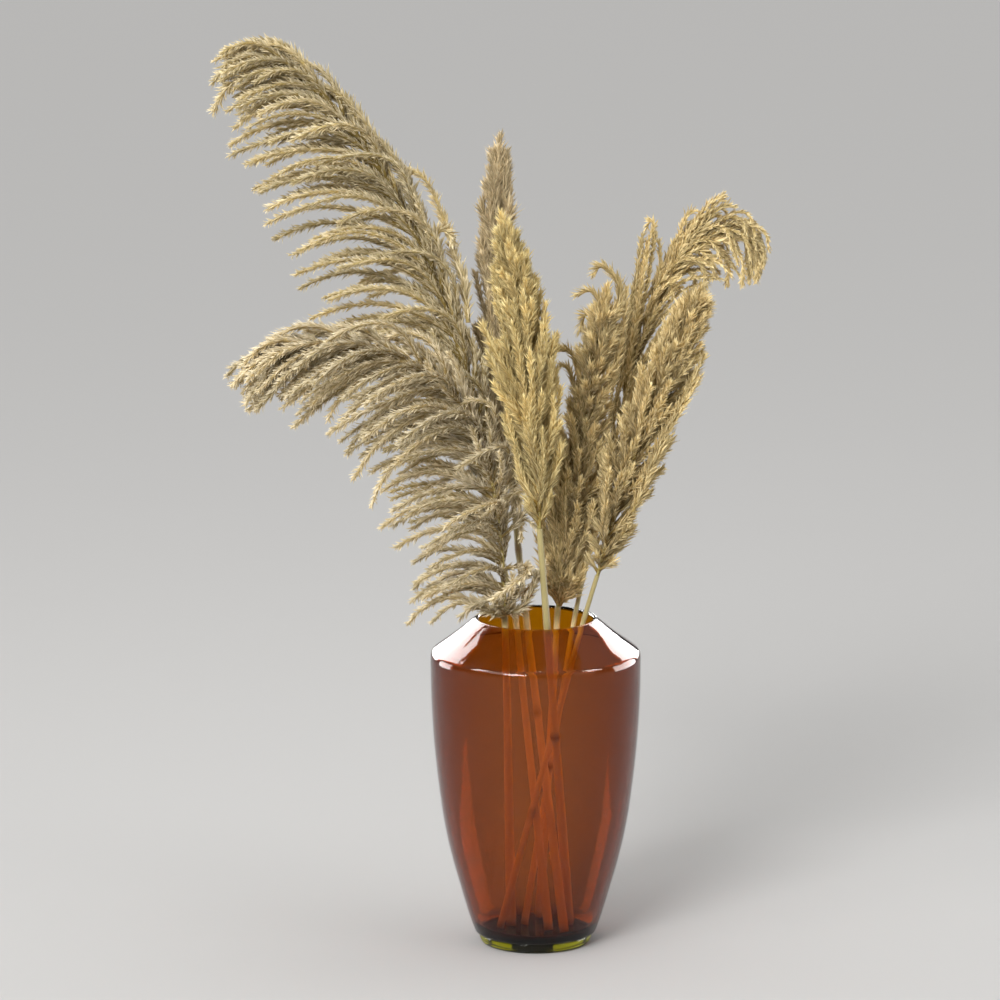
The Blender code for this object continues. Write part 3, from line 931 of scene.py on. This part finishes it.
    def leader(self, axis: list[Vector], number: int, rng: random.Random) -> list[Vector]:
        """One of the branches that stand up round the plume's tip and give it its point.

        Args:
            axis: the plume's middle line.
            number: which one. The first reaches the apex and the next ones end below it.
            rng: the plume's random numbers.

        Returns:
            The points from root to tip.
        """
        top = axis[-1]
        root = next(point for point in reversed(axis) if (point - top).length > self.LEADER_LENGTH)
        angle = number * GOLDEN_ANGLE + rng.uniform(*self.LEADER_TURNS)
        away = Vector((math.cos(angle), math.sin(angle), 0.0)) * min(number, 3) * self.LEADER_GAP * MM
        end = top + away + (root - top) * self.LEADER_DROP * number
        belly = root.lerp(end, 0.55) + away * 1.6
        return smooth_path([root, belly, end], self.branch_points)

    def girths(self, count: int) -> list[float]:
        """How long the hair is along a branch: long within the plume, shorter out along it and at its tip."""
        grown = []
        for k in range(count):
            share = k / (count - 1)
            rooted = min(1.0, self.ROOT_GIRTH + share * 5.0)
            silky = 1.0 + self.SILKY_GIRTH * max(0.0, 1.0 - share / self.SILKY_END)
            at_tip = max(0.0, (share - self.TIP_START) / (1.0 - self.TIP_START))
            rounded = 1.0 - self.TIP_LOSS * at_tip ** 2
            grown.append(rooted * silky * rounded)
        return grown

    def add_branch(self, strands: Strands, path: list[Vector], rng: random.Random, share_from: float = 0.0,
                   girth: float = 1.0) -> None:
        """Adds one haired branch to the plume.

        Args:
            strands: the plume's strands.
            path: the branch's points.
            rng: the plume's random numbers.
            share_from: how far out its root counts, for the shade of its hair.
            girth: how much longer than usual its hair is.
        """
        count = len(path)
        shares = [share_from + (1.0 - share_from) * k / (count - 1) for k in range(count)]
        cores = [self.habit.value.core * (1.0 - self.CORE_TAPER * k / (count - 1)) for k in range(count)]
        scale = girth * rng.uniform(*self.GIRTH_RANGE)
        tone = rng.random()
        girths = [grown * scale for grown in self.girths(count)]
        strands.add(path, share=shares, core=cores, girth=girths, tone=[tone] * count)

    def add_rachis(self, strands: Strands, spine: list[Vector]) -> None:
        """Adds the rachis, which tapers upwards and has short hair at its base."""
        last = len(spine) - 1
        base_girth, full_girth = self.RACHIS_GIRTHS
        strands.add(
            spine,
            core=[self.base_radius * (1.0 - self.RACHIS_TAPER * k / last) for k in range(last + 1)],
            girth=[min(full_girth, base_girth + 6.0 * k / last) for k in range(last + 1)],
            share=[self.RACHIS_SHARE] * (last + 1),
            tone=[0.5] * (last + 1),
            mark=[1.0] * (last + 1),
        )

    def droop_at(self, place: float) -> Vector:
        """The way that branches bend to, by their place on the plume."""
        low, high = Vector(self.droop_low).normalized(), Vector(self.droop).normalized()
        return low.lerp(high, min(1.0, self.DROOP_CHANGE * place ** self.turn)).normalized()

    def grow(self, strands: Strands, number: int, spine: list[Vector], axis: list[Vector],
             rng: random.Random) -> None:
        """Grows one branch from the rachis, turned on until it keeps off the glass and cut at the outline.

        Args:
            strands: the plume's strands.
            number: which branch it is, from the base up.
            spine: the rachis's points.
            axis: the plume's middle line.
            rng: the plume's random numbers.
        """
        place = self.FIRST_PLACE + self.PLACE_RANGE * (number / (self.branches - 1)) ** self.PLACE_POWER
        last = len(spine) - 1
        at = place * last
        j = min(int(at), last - 1)
        root, tangent = spine[j].lerp(spine[j + 1], at - j), (spine[j + 1] - spine[j]).normalized()
        droop = self.droop_at(place)
        length = self.length(place) * MM * rng.uniform(*self.LENGTH_RANGE)
        length -= self.HAIR_ROOM * self.habit.value.length
        if rng.random() < self.erect:
            droop = (tangent + Vector((-0.1, 0.0, 0.1))).normalized()
            length *= self.ERECT_LENGTH
        sideways = droop - droop.dot(tangent) * tangent
        across = tangent.orthogonal().normalized()
        beside = tangent.cross(across)
        widest = self.opening + (self.opening_low - self.opening) * max(0.0, 1.0 - self.OPENING_FADE * place)
        opening = math.radians(widest * rng.uniform(*self.OPENING_RANGE))
        first_angle = number * GOLDEN_ANGLE + rng.uniform(*self.ANGLE_RANGE)
        for attempt in range(self.ATTEMPTS):
            angle = first_angle + self.ATTEMPT_TURN * attempt
            outward = math.cos(angle) * across + math.sin(angle) * beside
            outward = (outward + self.side_pull * sideways).normalized()
            heading = (math.cos(opening) * tangent + math.sin(opening) * outward).normalized()
            path = self.branch(root, heading, droop, length, rng)
            if all(clear_of_glass(point) for point in path):
                outside = next((n for n, point in enumerate(path) if not self.inside(point, axis)), len(path))
                kept = path[:max(outside, self.FEWEST_POINTS)]
                self.add_branch(strands, smooth_path(kept, self.branch_points), rng)
                return

    def strands(self) -> Strands:
        """The rachis, its branches, the leaders at its tip and the strays."""
        spine = smooth_path([Vector(point) * MM for point in self.spine], self.SPINE_POINTS)
        axis = self.axis()
        made = Strands()
        self.add_rachis(made, spine)
        rng = random.Random(self.seed)
        for number in range(self.branches):
            self.grow(made, number, spine, axis, rng)
        for number in range(self.leaders):
            self.add_branch(made, self.leader(axis, number, rng), rng, self.LEADER_SHARE)
        for stray in self.strays:
            path = smooth_path([Vector(point) * MM for point in stray], self.branch_points)
            self.add_branch(made, path, rng, self.STRAY_SHARE, self.stray_girth)
        return made

    def build(self, tree: StrandTree, hair: bpy.types.Object) -> bpy.types.Object:
        """Makes the plume in place of its solid.

        Args:
            tree: the tree that makes tubes and hairs.
            hair: the shape of one hair.

        Returns:
            The finished plume.
        """
        hairs = self.habit.value
        lines = self.strands().make(f"{self.stalk}_lines")
        made = tree.apply(lines, f"{self.stalk}_fluff", Spacing=hairs.spacing, Hair_Length=hairs.length,
                          Hair_Width=hairs.width, Splay=hairs.splay, Seed=self.seed, Sides=3, Hair=hair,
                          Material=self.tint.value.make())
        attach(made, "root")
        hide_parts(f"{self.stalk}_plume")
        report(made)
        return made


def clear_of_glass(point: Vector) -> bool:
    """Whether a branch's point keeps off the vase: above its rim and cone, or outside its shoulder."""
    reach = math.hypot(point.x, point.y)
    if point.z > CLEAR_HEIGHT or reach > CLEAR_REACH:
        return True
    return reach > RIM_RADIUS and point.z > CLEAR_HEIGHT - CONE_SLOPE * (reach - RIM_RADIUS)


def hair_shape() -> bpy.types.Object:
    """One hair of unit length along +Z: four faces, widest past its middle."""
    mesh = bpy.data.meshes.new("hair")
    corners = [(0, 0, 0), (0.5, 0.0, HAIR_WIDEST_AT), (-0.25, 0.43, HAIR_WIDEST_AT), (0, 0, 1)]
    mesh.from_pydata(corners, [], [(0, 2, 1), (0, 3, 2), (0, 1, 3), (1, 2, 3)])
    places = [height for _, _, height in corners]
    mesh.attributes.new("hair_place", "FLOAT", "POINT").data.foreach_set("value", places)
    made = bpy.data.objects.new("hair", mesh)
    bpy.context.scene.collection.objects.link(made)
    return made


STEMS = (
    Stem("left_low", (-22.0, 6.7), (-27.0, -20.0), 3.8 * MM),
    Stem("left_high", (12.0, -12.2), (-19.0, 20.0), 3.3 * MM),
    Stem("centre_front", (31.0, 10.1), (10.0, -42.0), 3.6 * MM, (196.0,)),
    Stem("centre_back", (26.0, -28.9), (-9.5, 39.4), 3.4 * MM, (210.0, 352.0)),
    Stem("right_front", (-32.0, -4.3), (43.0, -14.0), 2.7 * MM, (120.0,)),
    Stem("right_back", (4.0, 36.0), (20.0, 12.0), 3.5 * MM),
    Stem("right_arch", (-10.0, 8.5), (36.0, 16.5), 2.7 * MM, (160.0,)),
)

PLUMES = (
    Plume(
        "left_low",
        spine=(
            (-28, -21, 309), (-29, -27, 349), (-33, -34, 392), (-40, -42, 436), (-53, -50, 479),
            (-75, -56, 517), (-107, -62, 543), (-145, -66, 557), (-184, -70, 562), (-216, -73, 557),
            (-243, -75, 541),
        ),
        base_radius=2.9 * MM, branches=120, lengths=(96, 136, 44), opening_low=60.0, opening=34.0,
        side_pull=0.55,
        droop_low=(-0.84, 0.0, -0.54), droop=(-0.62, 0.0, -0.78), bend=1.05, erect=0.1,
        tint=Tint.BEIGE, habit=Habit.ROPED, seed=11, slot="beige_plume",
        strays=(
            ((-29, -26, 380), (-25, -25, 396), (-18, -25, 400), (-11, -25, 395), (-3, -25, 391),
             (2, -25, 384)),
            ((-29, -27, 309), (-21, -27, 319), (-17, -27, 328), (-12, -27, 340), (-11, -27, 352)),
            ((-27, -24, 309), (-17, -30, 312), (-9, -30, 320), (-3, -30, 331), (0, -30, 343), (6, -30, 353)),
            ((-34, -34, 400), (-24, -30, 432), (-18, -28, 424), (-14, -27, 404), (-13, -26, 378)),
            ((-40, -42, 432), (-28, -36, 462), (-21, -32, 452), (-18, -30, 430), (-19, -29, 408)),
            ((-29, -27, 306), (-41, -34, 316), (-54, -34, 322), (-72, -34, 326), (-89, -34, 322),
             (-104, -34, 313), (-113, -34, 303)),
            ((-29, -28, 307), (-45, -44, 316), (-64, -44, 323), (-79, -44, 318), (-93, -44, 305)),
            ((-29, -28, 310), (-34, -46, 322), (-41, -52, 327), (-54, -52, 323), (-67, -52, 312)),
            ((-29, -25, 322), (-50, -30, 334), (-68, -30, 338), (-88, -30, 335), (-100, -30, 330),
             (-110, -30, 322)),
            ((-30, -26, 331), (-52, -26, 348), (-72, -26, 354), (-93, -26, 349), (-109, -26, 332)),
            ((-53, -50, 479), (-76, -56, 484), (-100, -66, 475), (-122, -70, 457), (-138, -70, 436),
             (-146, -70, 416)),
            ((-60, -52, 490), (-84, -60, 500), (-108, -68, 495), (-130, -70, 480), (-148, -70, 462),
             (-161, -70, 442)),
            ((-75, -56, 517), (-100, -62, 520), (-124, -68, 511), (-145, -70, 494), (-160, -70, 476),
             (-167, -70, 463)),
            ((-90, -58, 532), (-116, -64, 534), (-140, -70, 524), (-160, -70, 508), (-173, -70, 487)),
            ((-107, -62, 543), (-134, -66, 542), (-158, -70, 529), (-176, -70, 510), (-184, -70, 494)),
            ((-120, -62, 548), (-148, -68, 549), (-172, -70, 538), (-190, -70, 520), (-199, -70, 501)),
        ),
    ),
    Plume(
        "left_high",
        spine=(
            (-29, 25, 343), (-39, 34, 401), (-48, 42, 454), (-61, 49, 508), (-77, 55, 562), (-98, 60, 618),
            (-123, 64, 670), (-152, 67, 717), (-185, 69, 758), (-217, 70, 791), (-246, 70, 799),
        ),
        base_radius=2.5 * MM, branches=122, lengths=(118, 160, 48), opening_low=29.0, opening=27.0,
        side_pull=0.5,
        droop_low=(-0.94, 0.0, -0.34), droop=(-0.84, 0.0, -0.54), bend=1.04, erect=0.1,
        tint=Tint.OLIVE, habit=Habit.ROPED, seed=23, slot="olive_beige_plume",
        stray_girth=1.25,
        strays=(
            ((-61, 52, 560), (-64, 60, 591), (-70, 66, 608), (-76, 66, 631), (-84, 66, 656), (-96, 66, 683),
             (-106, 66, 694), (-119, 66, 697)),
            ((-74, 56, 566), (-84, 60, 606), (-90, 61, 634), (-86, 60, 642), (-80, 60, 641), (-75, 60, 632)),
            ((-186, 69, 760), (-206, 68, 790), (-224, 68, 806), (-241, 68, 810), (-257, 68, 803),
             (-272, 68, 790)),
            ((-104, 60, 640), (-112, 64, 676), (-124, 66, 701), (-140, 66, 722), (-156, 66, 744),
             (-172, 66, 764)),
            ((-98, 60, 618), (-106, 62, 655), (-115, 64, 686), (-126, 64, 705), (-138, 64, 722)),
            ((-206, 70, 776), (-230, 72, 796), (-254, 72, 801), (-276, 72, 792), (-289, 72, 775)),
            ((-200, 69, 768), (-228, 66, 783), (-254, 66, 784), (-276, 66, 772), (-289, 66, 750)),
            ((-176, 67, 738), (-204, 64, 760), (-228, 64, 763), (-250, 64, 753), (-268, 64, 736)),
        ),
    ),
    Plume(
        "centre_front",
        spine=(
            (3, -55, 393), (2, -63, 443), (-3, -71, 503), (-9, -78, 562), (-17, -84, 612), (-26, -88, 659),
        ),
        base_radius=2.7 * MM, branches=120, lengths=(96, 124, 50), opening_low=32.0, opening=28.0,
        side_pull=0.0,
        droop_low=(0.0, 0.0, 1.0), droop=(-0.2, -0.05, 0.98), bend=0.8,
        tint=Tint.YELLOW, habit=Habit.WOOLLY, seed=37, slot="yellow_plume",
        apex=(-31, -90, 681), leaders=6,
        outline=(
            (0, 3), (24, 10), (48, 16), (76, 21), (104, 24), (122, 28), (196, 27), (240, 18), (264, 11),
            (286, 5),
        ),
        strays=(
            ((-6, -76, 500), (-22, -88, 534), (-38, -96, 562), (-46, -100, 582)),
            ((-4, -74, 486), (-20, -90, 516), (-34, -97, 540), (-41, -100, 556)),
            ((-2, -72, 480), (-14, -90, 500), (-26, -96, 516), (-36, -100, 530)),
        ),
    ),
    Plume(
        "centre_back",
        spine=(
            (-23, 62, 423), (-28, 78, 475), (-32, 92, 542), (-35, 102, 607), (-35, 110, 658),
            (-33, 114, 694),
        ),
        base_radius=2.6 * MM, branches=104, lengths=(92, 110, 44), opening_low=36.0, opening=22.0,
        side_pull=0.0,
        droop_low=(-0.12, 0.1, 1.0), droop=(0.0, 0.08, 1.0), bend=0.8,
        tint=Tint.TAUPE, habit=Habit.WOOLLY, seed=41, slot="taupe_plume",
        apex=(-32, 115, 719), leaders=6,
        outline=(
            (0, 3), (24, 8), (48, 12), (92, 14), (122, 20), (212, 24), (292, 20),
        ),
    ),
    Plume(
        "right_front",
        spine=(
            (55, -22, 343), (70, -31, 400), (90, -41, 461), (110, -49, 517), (129, -55, 563),
            (140, -59, 592),
        ),
        base_radius=2.05 * MM, branches=126, lengths=(88, 114, 56), opening_low=46.0, opening=33.0,
        side_pull=0.0,
        droop_low=(0.42, -0.1, 0.9), droop=(0.42, -0.1, 0.9), bend=0.8,
        tint=Tint.BROWN, habit=Habit.WOOLLY, seed=53, slot="brown_beige_plume",
        apex=(146, -61, 612), leaders=6,
        outline=(
            (0, 4), (18, 12), (44, 19), (80, 23), (135, 25), (180, 28), (235, 22), (280, 8),
        ),
        strays=(
            ((90, -56, 419), (102, -64, 453), (117, -68, 487), (133, -70, 519), (148, -72, 550)),
            ((86, -54, 408), (98, -62, 440), (113, -66, 474), (129, -69, 505), (143, -71, 530)),
            ((128, -58, 578), (136, -60, 596), (142, -61, 602), (148, -62, 601), (150, -62, 593)),
        ),
    ),
    Plume(
        "right_back",
        spine=(
            (20, 10, 308), (25, 6, 342), (32, -1, 390), (39, -8, 444), (47, -15, 500), (55, -20, 548),
            (61, -24, 577),
        ),
        base_radius=2.65 * MM, branches=140, lengths=(90, 124, 56), opening_low=46.0, opening=37.0,
        side_pull=0.0,
        droop_low=(0.12, 0.0, 1.0), droop=(0.05, 0.0, 1.0), bend=0.8,
        tint=Tint.BROWN, habit=Habit.WOOLLY, seed=67, slot="brown_beige_plume",
        apex=(64, -25, 606), leaders=4,
        outline=(
            (0, 3), (12, 9), (52, 15), (84, 17), (112, 18), (134, 24), (152, 31), (194, 32), (238, 24),
            (290, 14),
        ),
        strays=(
            ((60, -22, 560), (69, -20, 576), (74, -18, 590), (74, -18, 603), (70, -18, 613), (62, -18, 622),
             (56, -18, 622), (52, -18, 617)),
            ((54, -18, 548), (59, -15, 568), (58, -14, 584), (53, -14, 596), (47, -14, 600), (38, -14, 597)),
            ((54, -16, 540), (59, -14, 558), (55, -14, 574), (46, -14, 579), (42, -14, 575), (40, -14, 566)),
            ((42, -6, 455), (44, -2, 484), (41, -2, 506), (38, -2, 529), (30, -2, 543), (19, -2, 545)),
            ((38, -4, 440), (39, 0, 469), (36, 0, 495), (34, 0, 514), (29, 0, 527), (24, 0, 529)),
            ((60, -18, 506), (70, -16, 532), (75, -16, 556), (79, -16, 580), (80, -16, 602)),
            ((56, -16, 490), (65, -14, 514), (71, -14, 538), (75, -14, 562)),
            ((21, 10, 309), (14, 8, 326), (8, 6, 346), (4, 4, 368), (3, 3, 392)),
            ((21, 10, 310), (15, 10, 328), (10, 10, 350), (7, 8, 376), (6, 6, 402)),
            ((21, 10, 309), (18, 6, 325), (16, 4, 345), (15, 3, 368), (14, 2, 392)),
            ((21, 10, 309), (20, 2, 322), (21, -4, 345), (23, -8, 372), (25, -10, 398)),
            ((22, 10, 309), (26, 1, 324), (30, -6, 344), (33, -10, 368), (36, -14, 394)),
            ((22, 10, 310), (29, 6, 322), (36, 4, 342), (42, 2, 366), (47, 0, 392)),
            ((22, 10, 311), (32, 5, 320), (40, 2, 336), (47, -2, 358), (52, -4, 382)),
            ((22, 11, 309), (27, 17, 326), (32, 20, 346), (37, 22, 370)),
            ((24, 8, 326), (19, 4, 346), (15, 1, 370), (12, -2, 396), (12, -4, 420)),
            ((25, 7, 336), (31, 2, 352), (37, -1, 374), (41, -4, 398), (44, -6, 420)),
        ),
    ),
    Plume(
        "right_arch",
        spine=(
            (47, 26, 347), (58, 38, 395), (70, 47, 444), (82, 54, 496), (97, 59, 545), (113, 63, 588),
            (134, 66, 622), (155, 68, 639), (174, 70, 643), (189, 71, 632), (196, 71, 612),
        ),
        base_radius=2.05 * MM, branches=100, lengths=(88, 84, 24), opening_low=24.0, opening=18.0,
        side_pull=0.2,
        droop_low=(0.34, 0.02, 0.94), droop=(0.02, 0.0, -1.0), bend=1.35, turn=1.2,
        tint=Tint.BROWN, habit=Habit.COMBED, seed=79, slot="brown_beige_plume",
        curl=2.2, stray_girth=1.4,
        strays=(
            ((80, 48, 500), (83, 50, 540), (88, 50, 572), (94, 50, 604), (100, 50, 631), (106, 50, 647),
             (103, 50, 653), (99, 50, 646)),
            ((76, 46, 500), (79, 47, 535), (83, 48, 565), (89, 48, 594), (93, 48, 620), (96, 48, 640)),
            ((100, 56, 560), (108, 58, 585), (112, 58, 610), (111, 56, 632)),
            ((118, 62, 596), (131, 60, 628), (144, 60, 651), (156, 60, 667), (168, 62, 674)),
            ((84, 50, 500), (87, 52, 535), (94, 52, 567), (101, 52, 599), (105, 52, 626), (107, 52, 640)),
            ((82, 46, 500), (86, 46, 540), (92, 46, 575), (97, 47, 605), (101, 48, 630)),
            ((102, 60, 556), (108, 62, 579), (119, 62, 608), (128, 62, 634), (136, 62, 656), (142, 62, 660)),
            ((116, 62, 592), (128, 60, 618), (141, 60, 638), (152, 60, 655), (161, 61, 666), (167, 62, 670)),
            ((130, 64, 618), (146, 62, 640), (158, 62, 656), (168, 63, 664), (176, 64, 664)),
            ((84, 44, 448), (90, 40, 473), (103, 40, 505), (119, 40, 537), (136, 40, 563), (144, 40, 580)),
            ((80, 46, 462), (85, 45, 491), (98, 45, 527), (116, 45, 556), (131, 45, 580)),
            ((162, 70, 632), (180, 70, 635), (193, 70, 628), (199, 70, 612), (199, 70, 596)),
            ((148, 62, 628), (166, 62, 634), (180, 62, 626), (187, 62, 610), (186, 62, 593)),
            ((139, 72, 623), (155, 72, 628), (168, 72, 621), (174, 72, 607), (173, 72, 593)),
            ((130, 60, 618), (144, 60, 625), (155, 60, 620), (160, 60, 611), (160, 60, 601)),
            ((123, 58, 605), (137, 58, 614), (148, 58, 611), (153, 58, 598), (152, 58, 585)),
            ((116, 66, 597), (128, 66, 606), (138, 66, 604), (143, 66, 597), (142, 66, 589)),
            ((107, 56, 591), (115, 56, 598), (122, 56, 595), (124, 56, 583)),
        ),
    ),
)

PLUME_BASES = {plume.stalk: plume.spine[0] for plume in PLUMES}


# Studio


@dataclass
class Studio:
    """A pale floor, soft lights and the camera. Each card has its place, its size and its brightness."""

    CARDS = {
        "top_card": ((-0.05, 0.1, 2.3), (0.24, 1.2), 14.0),
        "left_card": ((-0.95, 1.75, 1.15), (1.3, 1.9), 9.0),
        "right_card": ((0.9, 1.75, 1.15), (0.8, 1.9), 9.0),
        "left_glint": ((-1.5, -0.44, 1.54), (0.6, 0.6), 14.0),
        "right_glint": ((1.5, -0.44, 1.54), (0.6, 0.6), 14.0),
        "low_left_card": ((-1.5, 0.7, 0.4), (0.7, 0.9), 9.0),
        "low_right_card": ((1.5, 0.7, 0.45), (1.3, 1.1), 9.0),
    }

    aim: Triple = (-0.0321, 0.0, 0.4076)
    distance: float = 6.0
    pitch: float = math.radians(11.2)
    lens: float = 240.8
    floor_half: float = 20.0
    floor_drop: float = 0.2 * MM
    sun_strength: float = 2.3
    sun_angle: float = 24.0
    sun_heading: Triple = (0.36, 0.80, -0.48)

    def build(self) -> None:
        """Makes the floor, the lights and the camera."""
        self.floor()
        self.world()
        self.sun()
        self.softbox("key", (-1.7, -1.7, 1.9), (1.2, 1.2), 15.0)
        self.softbox("fill", (2.1, -1.5, 1.2), (1.2, 1.6), 5.0)
        self.softbox("overhead", (0.0, 0.0, 2.5), (1.6, 1.6), 16.0).visible_glossy = False
        for name, (place, size, brightness) in self.CARDS.items():
            self.card(name, place, size, brightness)
        self.camera()

    def floor(self) -> None:
        """A plain pale floor that runs past the view."""
        colour = (0.62, 0.612, 0.60, 1.0)
        surface = Surface("pale_floor", Base_Color=colour, Roughness=1.0, Specular_IOR_Level=0.0)
        half = self.floor_half
        mesh = bpy.data.meshes.new("floor")
        corners = [(-half, -half, 0), (half, -half, 0), (half, half, 0), (-half, half, 0)]
        mesh.from_pydata(corners, [], [(0, 1, 2, 3)])
        mesh.materials.append(surface.material)
        made = bpy.data.objects.new("floor", mesh)
        made.location.z = -self.floor_drop
        bpy.context.scene.collection.objects.link(made)

    def world(self) -> None:
        """Grey surroundings, dim at the horizon and bright overhead."""
        world = bpy.data.worlds.new("studio")
        world.use_nodes = True
        nodes = Nodes(world.node_tree)
        direction = nodes.add("ShaderNodeTexCoord").outputs["Generated"]
        height = nodes.add("ShaderNodeSeparateXYZ", {}, {"Vector": direction}).outputs["Z"]
        stops = ((0.0, (0.10, 0.10, 0.10)), (0.35, (0.22, 0.22, 0.22)), (1.0, (0.62, 0.62, 0.62)))
        shade = nodes.add("ShaderNodeValToRGB", {"stops": stops}, {"Fac": height}).outputs["Color"]
        world.node_tree.links.new(shade, world.node_tree.nodes["Background"].inputs["Color"])
        bpy.context.scene.world = world
        bpy.context.scene.view_settings.view_transform = "Standard"

    def sun(self) -> None:
        """The broad soft light that falls evenly on the object and the floor."""
        light = bpy.data.lights.new("broad_light", "SUN")
        light.energy = self.sun_strength
        light.angle = math.radians(self.sun_angle)
        made = bpy.data.objects.new("broad_light", light)
        made.rotation_mode = "QUATERNION"
        made.rotation_quaternion = Vector(self.sun_heading).to_track_quat("-Z", "Y")
        bpy.context.scene.collection.objects.link(made)

    def softbox(self, name: str, place: Triple, size: tuple[float, float], power: float) -> bpy.types.Object:
        """A rectangular area light that faces the arrangement.

        Args:
            name: the light's name.
            place: where it hangs, in metres.
            size: its width and height.
            power: its power in watts.

        Returns:
            The light's object.
        """
        light = bpy.data.lights.new(name, "AREA")
        light.shape = "RECTANGLE"
        light.size, light.size_y = size
        light.energy = power
        made = bpy.data.objects.new(name, light)
        made.location = place
        made.rotation_mode = "QUATERNION"
        made.rotation_quaternion = (Vector(self.aim) - Vector(place)).to_track_quat("-Z", "Y")
        bpy.context.scene.collection.objects.link(made)
        return made

    def card(self, name: str, place: Triple, size: tuple[float, float], brightness: float) -> None:
        """A bright card that shows in reflections and through the glass, and gives no diffuse light.

        Args:
            name: the card's name.
            place: where it hangs, in metres.
            size: its width and height.
            brightness: how bright it looks, where 1 is white.
        """
        made = self.softbox(name, place, size, brightness * math.pi * size[0] * size[1])
        made.visible_camera = False
        made.visible_diffuse = False

    def camera(self) -> None:
        """The camera, where the photograph was taken from."""
        lens = bpy.data.cameras.new("camera")
        lens.lens = self.lens
        lens.clip_end = 100.0
        made = bpy.data.objects.new("camera", lens)
        back = Vector((0.0, -math.cos(self.pitch), math.sin(self.pitch)))
        made.location = Vector(self.aim) + back * self.distance
        made.rotation_euler = (math.radians(90.0) - self.pitch, 0.0, 0.0)
        bpy.context.scene.collection.objects.link(made)
        bpy.context.scene.camera = made


def main() -> None:
    """Builds the vase, the reeds and the plumes round the frame, then the studio."""
    logging.basicConfig(level=logging.INFO, format="%(name)s: %(message)s")
    Vase().build()
    straw = Straw().make()
    tubes = StrandTree("reed", haired=False)
    for stem in STEMS:
        stem.build(tubes, straw)
    hairs = StrandTree("haired_branches", haired=True)
    hair = hair_shape()
    for plume in PLUMES:
        plume.build(hairs, hair)
    bpy.data.objects.remove(hair)
    Studio().build()


if __name__ == "__main__":
    main()
